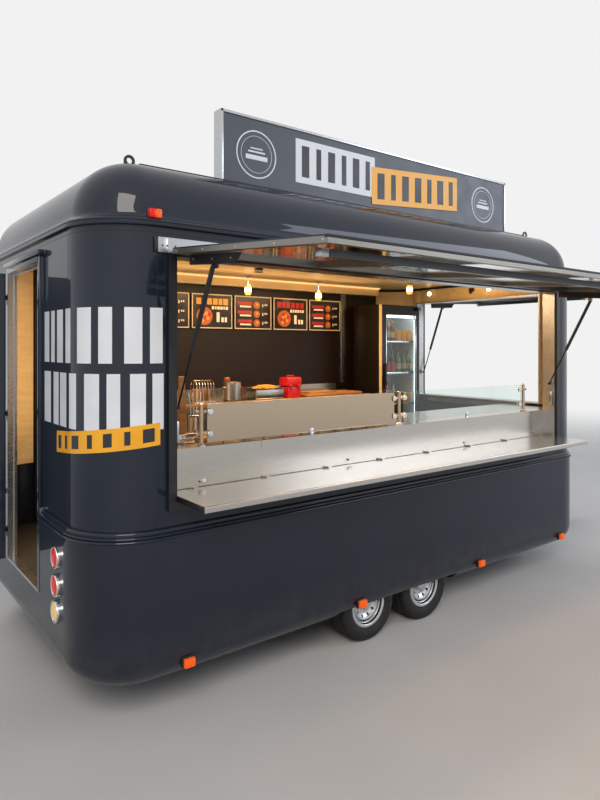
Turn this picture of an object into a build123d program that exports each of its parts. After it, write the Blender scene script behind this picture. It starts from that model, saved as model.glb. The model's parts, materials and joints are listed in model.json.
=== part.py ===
from build123d import *
from collections import namedtuple
import math
import os

os.makedirs("parts", exist_ok=True)

# Sizes are in millimetres. X points forward to the drawbar, Y to the far side and Z up.
# Places along X are measured from the rear face of the tub, along Y from the centre line
# and along Z from the ground. save() then sets the origin in the middle of the box.

# Body shell
body_length = 4365
body_width = 2300
corner_radius = 350
tub_bottom = 210
tub_wall = 25
tub_roll = 150
tub_lip = 150
arch_clearance = 60
belt_bottom = 935
belt_height = 30
belt_proud = 12
shoulder_height = 25
shoulder_inset = 5
wall_inset = 22
wall = 30
gutter_bottom = 2470
gutter_height = 30
roof_inset = 40
roof_height = 340
roof_roll = 300
roof_wall = 25
floor_top = 520
floor_thickness = 40
ceiling_bottom = 2528
ceiling_thickness = 12
cornice_bottom = 2444
cornice_depth = 90
seat_gap = 0.3
overcut = 10

half_width = body_width / 2
wall_bottom = belt_bottom + belt_height + shoulder_height
inner_inset = wall_inset + wall
wall_face = half_width - wall_inset
inner_face = half_width - inner_inset
corner_start = half_width - corner_radius
roof_bottom = gutter_bottom + gutter_height
roof_top = roof_bottom + roof_height

# Chassis, running gear and drawbar
rail_offset = half_width - 530
rail_width = 60
rail_height = 120
cross_height = 60
cross_width = 60
cross_places = (400, 1150, body_length - 1315, body_length - 405)
floor_bottom = floor_top - floor_thickness
rail_bottom = floor_bottom - rail_height
axle_pitch = 530
axle_middle = body_length / 2 - 82.5
axle_places = (axle_middle - axle_pitch / 2, axle_middle + axle_pitch / 2)
wheel_radius = 225
tyre_width = 195
tyre_face = half_width - 70
rim_radius = 128
rim_width = 150
rim_flange = 12
hub_radius = 45
spindle_radius = 20
running_gap = 0.3
axle_lead = 150
axle_beam = 75
axle_beam_bottom = 270
arm_radius = 25
arm_offset = tyre_face - 265
drawbar_start = body_length - 1115
drawbar_end = body_length + 1015
drawbar_tip_offset = 40
drawbar_width = 60
drawbar_height = 80
beam_notch = 70
beam_notch_place = 80
drawbar_plate = 10
drawbar_plate_half = 90
coupling_place = drawbar_end + 140
coupling_radius = 42
coupling_height = 70
socket_radius = 25.4
socket_depth = 43

# Jockey wheel
jockey_x = drawbar_end - 300
jockey_y = -222
jockey_trail = 40
jockey_radius = 100
jockey_width = 60
jockey_tube_radius = 24
jockey_stem_radius = 20
jockey_tube_bottom = 290
jockey_tube_top = 800
jockey_clamp = 30
jockey_bore = 130
jockey_crank = 120
jockey_grip_radius = 12
jockey_cheek = 6
jockey_axle_radius = 8

# Corner steadies, which swing down on a cross pin
steady_places = (450, body_length - 465)
steady_pin_height = 310
steady_pin_radius = 8
steady_size = 40
steady_foot = 70
steady_foot_half = 45
steady_foot_thickness = 8
steady_cheek = 6
steady_cheek_gap = 1

# Windows and their hatches
sleeve = 12
flange_width = 43
flange_top = 15
window_set_back = 20
hinge_stand_off = wall_inset + window_set_back
window_head = 20
sleeve_depth = 150
serving_start = corner_radius + 95
serving_end = body_length - corner_radius - 110
front_start = 25 - corner_start
front_end = corner_start - 115
hatch_thickness = 30
hatch_overlap = 2
hatch_bay = 900
hatch_root = 24
hatch_border = 40
skin_thickness = 6
hinge_pin_radius = 4
hinge_pitch = 480
hinge_rail_rise = 70
hinge_rail_thickness = 12
hinge_web = 12
hinge_web_reach = 22
knuckle_offset = 26
knuckle_width = 20
knuckle_radius = 8
strut_edge = 30
strut_tube_radius = 12
strut_rod_radius = 5
strut_eye = 12
strut_eye_radius = 10
strut_neck = 7
strut_tube_spare = 30
strut_bore_spare = 15
bracket_depth = 45
arm_clearance = 15
arm_thickness = 8
seat_lug = 15
seat_lug_drop = 12
foot_inset = 70
foot_bracket = 10
foot_bracket_half = 25
foot_bracket_depth = 15
stud_radius = 5
stiffener_inset = 70
stiffener_setback = 205
stiffener_width = 30
stiffener_height = 30

# Serving shelf
shelf_top = 1137
shelf_thickness = 25
shelf_sheet = 3
shelf_reach = wall_face + 282
shelf_pin_radius = 3
shelf_pin_rise = 6
shelf_knuckle = 24
shelf_knuckle_pin = 10

# Rear door
door_half_opening = 340
door_jamb = 40
door_sill_height = 15
door_head = 2350
door_frame_depth = 52
door_leaf_thickness = 30
door_gap = 5
door_open_angle = 95
door_hinge_stand_off = 8
door_pin_radius = 5
door_handle = 1150
door_hinges = (700, 1440, door_head - 170)
door_knuckle = 30
door_stop = 15
drip_rail_height = 20
drip_rail_overhang = 20
handle_plate_height = 180
handle_stand_off = 45

# Counters and kitchen
worktop_top = 1345
worktop_thickness = 35
worktop_edge = 648 - inner_face
worktop_front_edge = worktop_edge + 5
return_start = body_length - 1115
ledge_start = body_length - 145
marine_edge = 4
marine_width = 64
upstand_face = wall_face + hinge_stand_off - sleeve_depth
upstand_thickness = 12
counter_top = 1420
counter_edge = inner_face - 538
counter_start = corner_radius + 210
counter_end = body_length - 965
counter_overhang = 25
worktop_overhang = 30
splash_height = 80
guard_bar_heights = (1410, 1530)
guard_post_radius = 12
guard_bar_radius = 8
guard_stand = 18
lining = 12
panel = 18
fridge_start = body_length - 745
fridge_end = body_length - 175
fridge_front = inner_face - 498
fridge_back = inner_face - 68
fridge_top = 2320
fridge_wall = 30
fridge_door_thickness = 26
fridge_handle = 1450
fridge_handle_length = 260
fridge_shelf_pitch = 330
fridge_shelf_start = 420
fridge_door_border = 50

# Sign
sign_start = corner_radius + 581
sign_end = body_length - 600
sign_bottom = 2860
sign_top = 3300
sign_face_place = 400 - half_width
sign_depth = 85
sign_border = 14
sign_panel = 10
sign_foot_inset = 169
sign_stay_reach = 360
sign_stay_radius = 10
lifting_eye_radius = 30
lifting_bore_radius = 16
lifting_rise = 34

# Lamps
tail_lamp_radius = 57
tail_lamp_offset = corner_start - 100
tail_lamp_depth = 18
lens_depth = 24
lens_border = 10
marker_depth = 22
marker_strap = 6
marker_half = 30
roof_marker_length = 32

# The corners of the whole trailer's box give the origin
door_hinge_x = -door_hinge_stand_off
door_hinge_y = door_half_opening + door_gap
door_leaf_end = door_hinge_y + door_half_opening - door_gap
door_leaf_back = door_hinge_stand_off + door_leaf_thickness
door_swing = math.radians(door_open_angle)
box_rear = (
    door_hinge_x
    - door_leaf_end * math.sin(door_swing)
    + door_leaf_back * math.cos(door_swing)
)
box_front = coupling_place + coupling_radius

Window = namedtuple(
    "Window",
    "name axis along outward width height reach droop seat drop foot_drop arm_start arm_end",
)
windows = (
    Window(
        name="serving",
        axis=((serving_start + serving_end) / 2, -wall_face - hinge_stand_off, 2350),
        along=(1, 0, 0),
        outward=(0, -1, 0),
        width=serving_end - serving_start,
        height=1218,
        reach=1200,
        droop=4.8,
        seat=294,
        drop=70,
        foot_drop=775,
        arm_start=30,
        arm_end=450,
    ),
    Window(
        name="front",
        axis=(
            body_length - wall_inset + hinge_stand_off,
            (front_start + front_end) / 2,
            2370,
        ),
        along=(0, 1, 0),
        outward=(1, 0, 0),
        width=front_end - front_start,
        height=980,
        reach=1020,
        droop=-2.5,
        seat=230,
        drop=62,
        foot_drop=764,
        arm_start=30,
        arm_end=370,
    ),
)
serving, front = windows
serving_droop = math.radians(serving.droop)
box_side = (
    serving.axis[1]
    - serving.reach * math.cos(serving_droop)
    - hatch_thickness / 2 * math.sin(serving_droop)
)
box_far = half_width + marker_strap + marker_depth
to_origin = Location((-(box_rear + box_front) / 2, -(box_side + box_far) / 2, 0))


def save(piece, name):
    """Set a finished piece from the body's own places to the origin and write it."""
    piece.part = piece.part.moved(to_origin)
    piece.part.label = name
    export_step(piece.part, f"parts/{name}.step")


def block(low, high, mode=Mode.ADD):
    """A box from one corner to the opposite one, in the running builder."""
    with Locations(tuple((a + b) / 2 for a, b in zip(low, high))):
        Box(*(b - a for a, b in zip(low, high)), mode=mode)


def bar(start, end, radius, mode=Mode.ADD):
    """A round bar from one point to another, in the running builder."""
    run = Vector(*end) - Vector(*start)
    with Locations(Plane(origin=start, z_dir=run)):
        Cylinder(
            radius,
            run.length,
            align=(Align.CENTER, Align.CENTER, Align.MIN),
            mode=mode,
        )


def body_plan(inset, mode=Mode.ADD):
    """The body's rounded outline, drawn in by inset, in the running sketch."""
    with Locations((body_length / 2, 0)):
        RectangleRounded(
            body_length - 2 * inset,
            body_width - 2 * inset,
            corner_radius - inset,
            mode=mode,
        )


def body_ring(bottom, height, outer, inner):
    """A hoop that follows the body's outline between two insets."""
    with BuildPart() as ring:
        with BuildSketch(Plane.XY.offset(bottom)):
            body_plan(outer)
            body_plan(inner, mode=Mode.SUBTRACT)
        extrude(amount=height)
    return ring.part


def closed_plane(window):
    """At a window's hinge: X along the hinge, Y down the wall and Z inwards."""
    inward = -Vector(*window.outward)
    return Plane(origin=window.axis, x_dir=window.along, z_dir=inward)


def hatch_plane(window):
    """At a window's hinge: X along the hinge, Y out along the open hatch."""
    inward = -Vector(*window.outward)
    droop = math.radians(window.droop)
    under = inward * math.sin(droop) - Vector(0, 0, 1) * math.cos(droop)
    return Plane(origin=window.axis, x_dir=window.along, z_dir=under)


def hinge_places(width):
    """Evenly spaced places of the hinge webs along a width, about its middle."""
    count = round(width / hinge_pitch) + 1
    pitch = (width - hinge_pitch / 2) / (count - 1)
    return [pitch * (i - (count - 1) / 2) for i in range(count)]


# Lower tub: a moulded skirt, rolled in at its lower edge and open below
with BuildPart() as tub_cavity:
    with BuildSketch(Plane.XY.offset(tub_bottom + tub_wall)):
        body_plan(tub_wall)
    extrude(amount=belt_bottom - tub_bottom - tub_wall)
    fillet(tub_cavity.faces().sort_by(Axis.Z)[0].edges(), tub_roll - tub_wall)

with BuildPart() as lower_tub:
    with BuildSketch(Plane.XY.offset(tub_bottom)):
        body_plan(0)
    extrude(amount=belt_bottom - tub_bottom)
    fillet(lower_tub.faces().sort_by(Axis.Z)[0].edges(), tub_roll)
    add(tub_cavity.part, mode=Mode.SUBTRACT)
    with BuildSketch(Plane.XY.offset(tub_bottom)):
        body_plan(tub_lip)
    extrude(amount=tub_wall, mode=Mode.SUBTRACT)
    arch_top = tub_bottom + arch_clearance
    arch_start = axle_places[0] - wheel_radius - arch_clearance
    arch_end = axle_places[1] + wheel_radius + arch_clearance
    for side in (-1, 1):
        low, high = sorted((side * (half_width + overcut), side * (half_width - tub_lip - overcut)))
        block(
            (arch_start, low, tub_bottom - overcut),
            (arch_end, high, arch_top),
            mode=Mode.SUBTRACT,
        )
        beam_slope = (rail_offset - drawbar_tip_offset) / (drawbar_end - drawbar_start)
        notch_run = drawbar_end - body_length + beam_notch_place
        notch = side * (drawbar_tip_offset + beam_slope * notch_run)
        block(
            (body_length - tub_lip - overcut, notch - beam_notch, tub_bottom - overcut),
            (body_length + overcut, notch + beam_notch, rail_bottom + drawbar_plate),
            mode=Mode.SUBTRACT,
        )
    door_cut = door_half_opening + door_jamb
    block(
        (-overcut, -door_cut, floor_top),
        (door_frame_depth + overcut, door_cut, belt_bottom + overcut),
        mode=Mode.SUBTRACT,
    )
save(lower_tub, "lower_tub")

# Belt: the trim that caps the tub, with the shoulder that carries the walls
with BuildPart() as belt_trim:
    add(body_ring(belt_bottom, belt_height, -belt_proud, inner_inset))
    add(body_ring(belt_bottom + belt_height, shoulder_height, shoulder_inset, inner_inset))
    block(
        (-belt_proud - overcut, -door_cut, belt_bottom - overcut),
        (inner_inset + overcut, door_cut, wall_bottom + overcut),
        mode=Mode.SUBTRACT,
    )
save(belt_trim, "belt_trim")

# Upper walls: flat panels between four moulded corner posts
wall_ring = body_ring(wall_bottom, gutter_bottom - wall_bottom, wall_inset, inner_inset)
door_top = door_head + door_jamb

with BuildPart() as corner_posts:
    for low_x, high_x in (
        (0, corner_radius),
        (body_length - corner_radius, body_length),
    ):
        block(
            (low_x, -half_width, wall_bottom),
            (high_x, -corner_start, gutter_bottom),
        )
        block(
            (low_x, corner_start, wall_bottom),
            (high_x, half_width, gutter_bottom),
        )
    add(wall_ring, mode=Mode.INTERSECT)
save(corner_posts, "corner_posts")

with BuildPart() as wall_rear:
    block((0, -corner_start, wall_bottom), (corner_radius, corner_start, gutter_bottom))
    add(wall_ring, mode=Mode.INTERSECT)
    block(
        (0, -door_cut, wall_bottom - overcut),
        (inner_inset + overcut, door_cut, door_top),
        mode=Mode.SUBTRACT,
    )
save(wall_rear, "wall_rear")

with BuildPart() as wall_far:
    block(
        (corner_radius, corner_start, wall_bottom),
        (body_length - corner_radius, half_width, gutter_bottom),
    )
    add(wall_ring, mode=Mode.INTERSECT)
save(wall_far, "wall_far")


def sleeve_hole(window):
    """The hole in the wall that a window's sleeve fills, in the running builder."""
    half = window.width / 2 + sleeve
    with Locations(closed_plane(window)):
        block(
            (-half, window_head - sleeve, hinge_stand_off - overcut),
            (half, window_head + window.height + sleeve, hinge_stand_off + wall + overcut),
            mode=Mode.SUBTRACT,
        )


with BuildPart() as wall_serving:
    block(
        (corner_radius, -half_width, wall_bottom),
        (body_length - corner_radius, -corner_start, gutter_bottom),
    )
    add(wall_ring, mode=Mode.INTERSECT)
    sleeve_hole(serving)
save(wall_serving, "wall_serving")

with BuildPart() as wall_front:
    block(
        (body_length - corner_radius, -corner_start, wall_bottom),
        (body_length, corner_start, gutter_bottom),
    )
    add(wall_ring, mode=Mode.INTERSECT)
    sleeve_hole(front)
save(wall_front, "wall_front")

# Rain gutter and roof cap
with BuildPart() as gutter_band:
    add(body_ring(gutter_bottom, gutter_height, 0, inner_inset))
save(gutter_band, "gutter_band")

with BuildPart() as roof_cavity:
    with BuildSketch(Plane.XY.offset(roof_bottom)):
        body_plan(roof_inset + roof_wall)
    extrude(amount=roof_height - roof_wall)
    fillet(roof_cavity.faces().sort_by(Axis.Z)[-1].edges(), roof_roll - roof_wall)

with BuildPart() as roof_cap:
    with BuildSketch(Plane.XY.offset(roof_bottom)):
        body_plan(roof_inset)
    extrude(amount=roof_height)
    fillet(roof_cap.faces().sort_by(Axis.Z)[-1].edges(), roof_roll)
    add(roof_cavity.part, mode=Mode.SUBTRACT)
save(roof_cap, "roof_cap")

# Window flanges, which stand proud of the wall
with BuildPart() as window_frames:
    for window in windows:
        half = window.width / 2
        foot = window_head + window.height
        with Locations(closed_plane(window)):
            block(
                (-half - flange_width, window_head - flange_top, window_set_back),
                (half + flange_width, foot + flange_width, hinge_stand_off),
            )
            block(
                (-half, window_head, window_set_back - overcut),
                (half, foot, hinge_stand_off + overcut),
                mode=Mode.SUBTRACT,
            )
save(window_frames, "window_frames")

# Window sleeves with the struts' lower brackets, and the hinge rails above
with BuildPart() as window_liners:
    for window in windows:
        half = window.width / 2
        foot = window_head + window.height
        with Locations(closed_plane(window)):
            block(
                (-half - sleeve, window_head - sleeve, hinge_stand_off),
                (half + sleeve, foot + sleeve, sleeve_depth),
            )
            block(
                (-half, window_head, hinge_stand_off - overcut),
                (half, foot, sleeve_depth + overcut),
                mode=Mode.SUBTRACT,
            )
            for side in (-1, 1):
                low, high = sorted((side * (half - seat_gap), side * (half - foot_bracket)))
                block(
                    (low, window.foot_drop - foot_bracket_half, foot_inset - foot_bracket_depth),
                    (high, window.foot_drop + foot_bracket_half, foot_inset + foot_bracket_depth),
                )
                stud_end = half - strut_edge + strut_eye / 2 + running_gap
                low, high = sorted((side * (half - foot_bracket), side * stud_end))
                with Locations(((low + high) / 2, window.foot_drop, foot_inset)):
                    Cylinder(stud_radius, high - low, rotation=(0, 90, 0))
save(window_liners, "window_liners")

with BuildPart() as hinge_rails:
    for window in windows:
        half = window.width / 2 + flange_width
        with Locations(closed_plane(window)):
            block(
                (-half, -hinge_rail_rise, hinge_stand_off - hinge_rail_thickness),
                (half, window_head - flange_top, hinge_stand_off),
            )
            for place in hinge_places(window.width):
                block(
                    (place - hinge_web / 2, -hinge_web_reach, -knuckle_radius),
                    (place + hinge_web / 2, window_head - flange_top, hinge_stand_off),
                )
            Cylinder(hinge_pin_radius, 2 * half, rotation=(0, 90, 0))
save(hinge_rails, "hinge_rails")

# Hatches, modelled open as they stand while serving
Strut = namedtuple("Strut", "place open_length closed_length")


def strut_of(window):
    """A hatch's strut: its seat on the hatch and its length, open and closed."""
    half = window.width / 2 - strut_edge
    closed = closed_plane(window)
    seat = hatch_plane(window).from_local_coords(Vector(0, window.seat, window.drop))
    foot = closed.from_local_coords(Vector(0, window.foot_drop, foot_inset))
    seat_closed = closed.from_local_coords(Vector(0, window.seat, window.drop))
    return Strut(half, (foot - seat).length, (foot - seat_closed).length)


for window in windows:
    outer = window.width / 2 + flange_width + hatch_overlap
    inner_width = 2 * outer - 2 * hatch_border
    half_thick = hatch_thickness / 2
    skin_back = -half_thick + skin_thickness
    open_plane = hatch_plane(window)
    strut = strut_of(window)
    bays = round(inner_width / hatch_bay)

    with BuildPart(open_plane) as hatch_skin:
        block(
            (-outer, hatch_root, -half_thick),
            (outer, window.reach, skin_back),
        )
    save(hatch_skin, f"{window.name}_hatch_skin")

    with BuildPart(open_plane) as hatch_frame:
        block((-outer, hatch_root, skin_back), (outer, window.reach, half_thick))
        bay = (inner_width - (bays - 1) * hatch_border) / bays
        for i in range(bays):
            start = -outer + hatch_border + i * (bay + hatch_border)
            block(
                (start, hatch_root + hatch_border, skin_back - overcut),
                (start + bay, window.reach - hatch_border, half_thick + overcut),
                mode=Mode.SUBTRACT,
            )
        for place in hinge_places(window.width):
            eye = place + knuckle_offset
            block(
                (eye - knuckle_width / 2, -knuckle_radius, skin_back),
                (eye + knuckle_width / 2, hatch_root, knuckle_radius),
            )
        Cylinder(
            hinge_pin_radius + running_gap,
            2 * outer,
            rotation=(0, 90, 0),
            mode=Mode.SUBTRACT,
        )
        stiffener = window.width / 2 - stiffener_inset
        stiffener_start = window.reach - stiffener_setback
        block(
            (-stiffener, stiffener_start, half_thick),
            (stiffener, stiffener_start + stiffener_width, half_thick + stiffener_height),
        )
        for side in (-1, 1):
            inboard = strut.place - arm_clearance
            low, high = sorted((side * inboard, side * (inboard - arm_thickness)))
            block(
                (low, window.arm_start, half_thick),
                (high, window.arm_end, half_thick + bracket_depth),
            )
            block(
                (low, window.seat - seat_lug, half_thick + bracket_depth),
                (high, window.seat + seat_lug, window.drop + seat_lug_drop),
            )
            side_rail = outer - hatch_border + 5
            low, high = sorted((side * (inboard - arm_thickness), side * side_rail))
            block(
                (low, window.arm_start, half_thick - 5),
                (high, window.arm_end, half_thick),
            )
            low, high = sorted((side * inboard, side * (strut.place + strut_eye * 2 / 3)))
            with Locations(((low + high) / 2, window.seat, window.drop)):
                Cylinder(hinge_pin_radius, high - low, rotation=(0, 90, 0))
    save(hatch_frame, f"{window.name}_hatch_frame")

    stroke = strut.open_length - strut.closed_length
    tube_end = strut.closed_length - strut_tube_spare
    rod_start = tube_end - strut_tube_spare
    bore_start = rod_start - stroke - strut_bore_spare
    foot = closed_plane(window).from_local_coords(Vector(0, window.foot_drop, foot_inset))
    seat = open_plane.from_local_coords(Vector(0, window.seat, window.drop))
    strut_plane = Plane(origin=seat, x_dir=window.along, z_dir=foot - seat)

    with BuildPart(strut_plane) as strut_tubes:
        for side in (-1, 1):
            place = side * strut.place
            bar((place, 0, strut_neck), (place, 0, tube_end), strut_tube_radius)
            with Locations((place, 0, 0)):
                Cylinder(strut_eye_radius, strut_eye, rotation=(0, 90, 0))
                Cylinder(
                    hinge_pin_radius + running_gap,
                    strut_eye + overcut,
                    rotation=(0, 90, 0),
                    mode=Mode.SUBTRACT,
                )
            bar(
                (place, 0, bore_start),
                (place, 0, tube_end + overcut),
                strut_rod_radius + running_gap,
                mode=Mode.SUBTRACT,
            )
    save(strut_tubes, f"{window.name}_strut_tubes")

    with BuildPart(strut_plane) as strut_rods:
        for side in (-1, 1):
            place = side * strut.place
            bar(
                (place, 0, rod_start),
                (place, 0, strut.open_length - strut_neck),
                strut_rod_radius,
            )
            with Locations((place, 0, strut.open_length)):
                Cylinder(strut_eye_radius, strut_eye, rotation=(0, 90, 0))
                Cylinder(
                    stud_radius,
                    strut_eye + overcut,
                    rotation=(0, 90, 0),
                    mode=Mode.SUBTRACT,
                )
    save(strut_rods, f"{window.name}_strut_rods")

# Floor deck on a frame of two rails and their cross members
with BuildPart() as floor:
    with BuildSketch(Plane.XY.offset(floor_bottom)):
        body_plan(tub_wall + seat_gap)
    extrude(amount=floor_thickness)
save(floor, "floor")

cross_reach = half_width - tub_wall
with BuildPart() as chassis:
    for side in (-1, 1):
        block(
            (tub_wall, side * rail_offset - rail_width / 2, rail_bottom),
            (body_length - tub_wall, side * rail_offset + rail_width / 2, floor_bottom),
        )
    for place in cross_places:
        block(
            (place - cross_width / 2, -cross_reach, floor_bottom - cross_height),
            (place + cross_width / 2, cross_reach, floor_bottom),
        )
    middle = (axle_places[0] + axle_places[1]) / 2
    block(
        (middle - cross_width / 2, -rail_offset, floor_bottom - cross_height),
        (middle + cross_width / 2, rail_offset, floor_bottom),
    )
    pin_reach = steady_size / 2 + steady_cheek_gap + steady_cheek
    for place in steady_places:
        for side in (-1, 1):
            for cheek in (-1, 1):
                cheek_y = steady_size / 2 + steady_cheek_gap + steady_cheek / 2
                centre = side * rail_offset + cheek * cheek_y
                block(
                    (place - steady_size / 2, centre - steady_cheek / 2, steady_pin_height - 15),
                    (place + steady_size / 2, centre + steady_cheek / 2, rail_bottom),
                )
            bar(
                (place, side * rail_offset - pin_reach, steady_pin_height),
                (place, side * rail_offset + pin_reach, steady_pin_height),
                steady_pin_radius,
            )
save(chassis, "chassis")

# Corner steadies
for place, end_name in zip(steady_places, ("rear", "front")):
    for side, side_name in ((-1, "serving"), (1, "far")):
        centre = side * rail_offset
        half_leg = steady_size / 2
        with BuildPart() as steady:
            block(
                (place - half_leg, centre - half_leg, steady_foot_thickness),
                (place + half_leg, centre + half_leg, steady_pin_height + 16),
            )
            block(
                (place - steady_foot / 2, centre - steady_foot_half, 0),
                (place + steady_foot / 2, centre + steady_foot_half, steady_foot_thickness),
            )
            bar(
                (place, centre - half_leg - overcut, steady_pin_height),
                (place, centre + half_leg + overcut, steady_pin_height),
                steady_pin_radius + running_gap,
                mode=Mode.SUBTRACT,
            )
        save(steady, f"steady_{end_name}_{side_name}")

# Axles: beam, trailing arms and spindles
with BuildPart() as axles:
    for place in axle_places:
        beam_x = place + axle_lead
        beam_top = axle_beam_bottom + axle_beam
        beam_middle = axle_beam_bottom + axle_beam / 2
        block(
            (beam_x - axle_beam / 2, -arm_offset, axle_beam_bottom),
            (beam_x + axle_beam / 2, arm_offset, beam_top),
        )
        for side in (-1, 1):
            block(
                (beam_x - 60, side * rail_offset - 30, beam_top),
                (beam_x + 60, side * rail_offset + 30, rail_bottom),
            )
            arm = side * arm_offset
            bar((beam_x, arm, beam_middle), (place, arm, wheel_radius), arm_radius)
            bar((place, arm - 25 * side, wheel_radius), (place, arm + 25 * side, wheel_radius), 38)
            bar(
                (place, arm, wheel_radius),
                (place, side * (tyre_face - 50), wheel_radius),
                spindle_radius,
            )
save(axles, "axles")

# Wheels: a steel rim with ventilation holes and a tyre on it
tyre_middle = tyre_face - tyre_width / 2
half_tyre = tyre_width / 2
half_rim = rim_width / 2
for place, end_name in zip(axle_places, ("rear", "front")):
    for side, side_name in ((-1, "serving"), (1, "far")):
        wheel_plane = Plane(
            origin=(place, side * tyre_middle, wheel_radius),
            x_dir=(1, 0, 0),
            z_dir=(0, side, 0),
        )
        profile_plane = Plane(
            origin=wheel_plane.origin,
            x_dir=wheel_plane.x_dir,
            z_dir=-wheel_plane.y_dir,
        )
        spin = Axis(wheel_plane.origin, wheel_plane.z_dir)
        with BuildPart() as rim:
            with BuildSketch(profile_plane):
                with BuildLine():
                    Polyline(
                        (rim_radius - 4, -half_rim),
                        (rim_radius + rim_flange, -half_rim - 1),
                        (rim_radius + rim_flange, -half_rim - 5),
                        (rim_radius - 8, -half_rim - 5),
                        (rim_radius - 20, -half_rim + 30),
                        (rim_radius - 20, 28),
                        (95, 50),
                        (60, 30),
                        (hub_radius, 26),
                        (hub_radius, -half_tyre + 12),
                        (spindle_radius + running_gap, -half_tyre + 12),
                        (spindle_radius + running_gap, 48),
                        (12, 48),
                        (12, 60),
                        (hub_radius - 13, 60),
                        (hub_radius - 5, 52),
                        (hub_radius - 5, 34),
                        (62, 38),
                        (93, 58),
                        (rim_radius - 14, 40),
                        (rim_radius - 8, half_rim + 5),
                        (rim_radius + rim_flange, half_rim + 5),
                        (rim_radius + rim_flange, half_rim + 1),
                        (rim_radius - 4, half_rim),
                        (rim_radius - 4, half_rim - 18),
                        (rim_radius - 16, half_rim - 34),
                        (rim_radius - 16, -half_rim + 34),
                        (rim_radius - 4, -half_rim + 18),
                        close=True,
                    )
                make_face()
            revolve(axis=spin)
            with Locations(wheel_plane):
                with PolarLocations(78, 10):
                    Cylinder(9, 200, mode=Mode.SUBTRACT)
        save(rim, f"rim_{end_name}_{side_name}")

        with BuildPart() as tyre:
            with BuildSketch(profile_plane):
                with BuildLine():
                    Polyline(
                        (rim_radius - 3.7, -half_rim + 0.3),
                        (rim_radius + rim_flange + 1, -half_rim + 0.3),
                        (rim_radius + rim_flange + 6, -half_rim - 8),
                        (rim_radius + 45, -half_tyre),
                        (wheel_radius - 16, -half_tyre + 6),
                        (wheel_radius, -half_tyre + 26),
                        (wheel_radius, half_tyre - 26),
                        (wheel_radius - 16, half_tyre - 6),
                        (rim_radius + 45, half_tyre),
                        (rim_radius + rim_flange + 6, half_rim + 8),
                        (rim_radius + rim_flange + 1, half_rim - 0.3),
                        (rim_radius - 3.7, half_rim - 0.3),
                        close=True,
                    )
                make_face()
            revolve(axis=spin)
        save(tyre, f"tyre_{end_name}_{side_name}")

# Drawbar: two beams that meet under the coupling, with the jockey wheel's clamp
drawbar_bottom = rail_bottom - drawbar_height
coupling_bottom = rail_bottom + drawbar_plate
with BuildPart() as drawbar:
    for side in (-1, 1):
        start = Vector(drawbar_start, side * rail_offset, rail_bottom - drawbar_height / 2)
        end = Vector(drawbar_end, side * drawbar_tip_offset, start.Z)
        with Locations(Plane(origin=start, x_dir=(0, 0, 1), z_dir=end - start)):
            Box(
                drawbar_height,
                drawbar_width,
                (end - start).length,
                align=(Align.CENTER, Align.CENTER, Align.MIN),
            )
    block(
        (drawbar_end - 160, -drawbar_plate_half, rail_bottom),
        (coupling_place - socket_radius - 6, drawbar_plate_half, coupling_bottom),
    )
    block(
        (drawbar_end - 60, -drawbar_tip_offset - 20, drawbar_bottom),
        (drawbar_end + 10, drawbar_tip_offset + 20, rail_bottom),
    )
    block(
        (jockey_x - jockey_clamp, jockey_y, drawbar_bottom + 10),
        (jockey_x + jockey_clamp, jockey_y + 90, rail_bottom - 10),
    )
    bar(
        (jockey_x, jockey_y, jockey_tube_bottom),
        (jockey_x, jockey_y, jockey_tube_top),
        jockey_tube_radius,
    )
    bar(
        (jockey_x, jockey_y, jockey_tube_bottom - overcut),
        (jockey_x, jockey_y, jockey_tube_bottom + jockey_bore),
        jockey_stem_radius + running_gap,
        mode=Mode.SUBTRACT,
    )
    bar((jockey_x, jockey_y, jockey_tube_top), (jockey_x, jockey_y, jockey_tube_top + 25), 9)
    block(
        (jockey_x - 8, jockey_y - 8, jockey_tube_top + 17),
        (jockey_x + jockey_crank + 10, jockey_y + 8, jockey_tube_top + 29),
    )
    bar(
        (jockey_x + jockey_crank, jockey_y, jockey_tube_top + 20),
        (jockey_x + jockey_crank, jockey_y, jockey_tube_top + 110),
        jockey_grip_radius,
    )
save(drawbar, "drawbar")

# Coupling: a ball socket open below, on the drawbar's plate
with BuildPart() as coupling:
    bar(
        (coupling_place, 0, coupling_bottom),
        (coupling_place, 0, coupling_bottom + coupling_height),
        coupling_radius,
    )
    block(
        (drawbar_end - 60, -30, coupling_bottom),
        (coupling_place - 20, 30, coupling_bottom + 50),
    )
    bar(
        (coupling_place, 0, coupling_bottom - overcut),
        (coupling_place, 0, coupling_bottom + socket_depth),
        socket_radius,
        mode=Mode.SUBTRACT,
    )
    bar(
        (drawbar_end + 20, 0, coupling_bottom + 40),
        (drawbar_end - 120, 0, coupling_bottom + 130),
        11,
    )
save(coupling, "coupling")

with BuildPart() as jockey_fork:
    crown = 2 * jockey_radius + 12
    bar(
        (jockey_x, jockey_y, crown),
        (jockey_x, jockey_y, jockey_tube_bottom + jockey_bore - 10),
        jockey_stem_radius,
    )
    cheek = jockey_width / 2 + 5
    block(
        (jockey_x - jockey_trail - 30, jockey_y - cheek - jockey_cheek, crown),
        (jockey_x + 25, jockey_y + cheek + jockey_cheek, crown + 12),
    )
    for side in (-1, 1):
        low, high = sorted((jockey_y + side * cheek, jockey_y + side * (cheek + jockey_cheek)))
        block(
            (jockey_x - jockey_trail - 25, low, jockey_radius - 20),
            (jockey_x - jockey_trail + 25, high, crown),
        )
    bar(
        (jockey_x - jockey_trail, jockey_y - cheek - 2 * jockey_cheek, jockey_radius),
        (jockey_x - jockey_trail, jockey_y + cheek + 2 * jockey_cheek, jockey_radius),
        jockey_axle_radius,
    )
save(jockey_fork, "jockey_fork")

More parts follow.
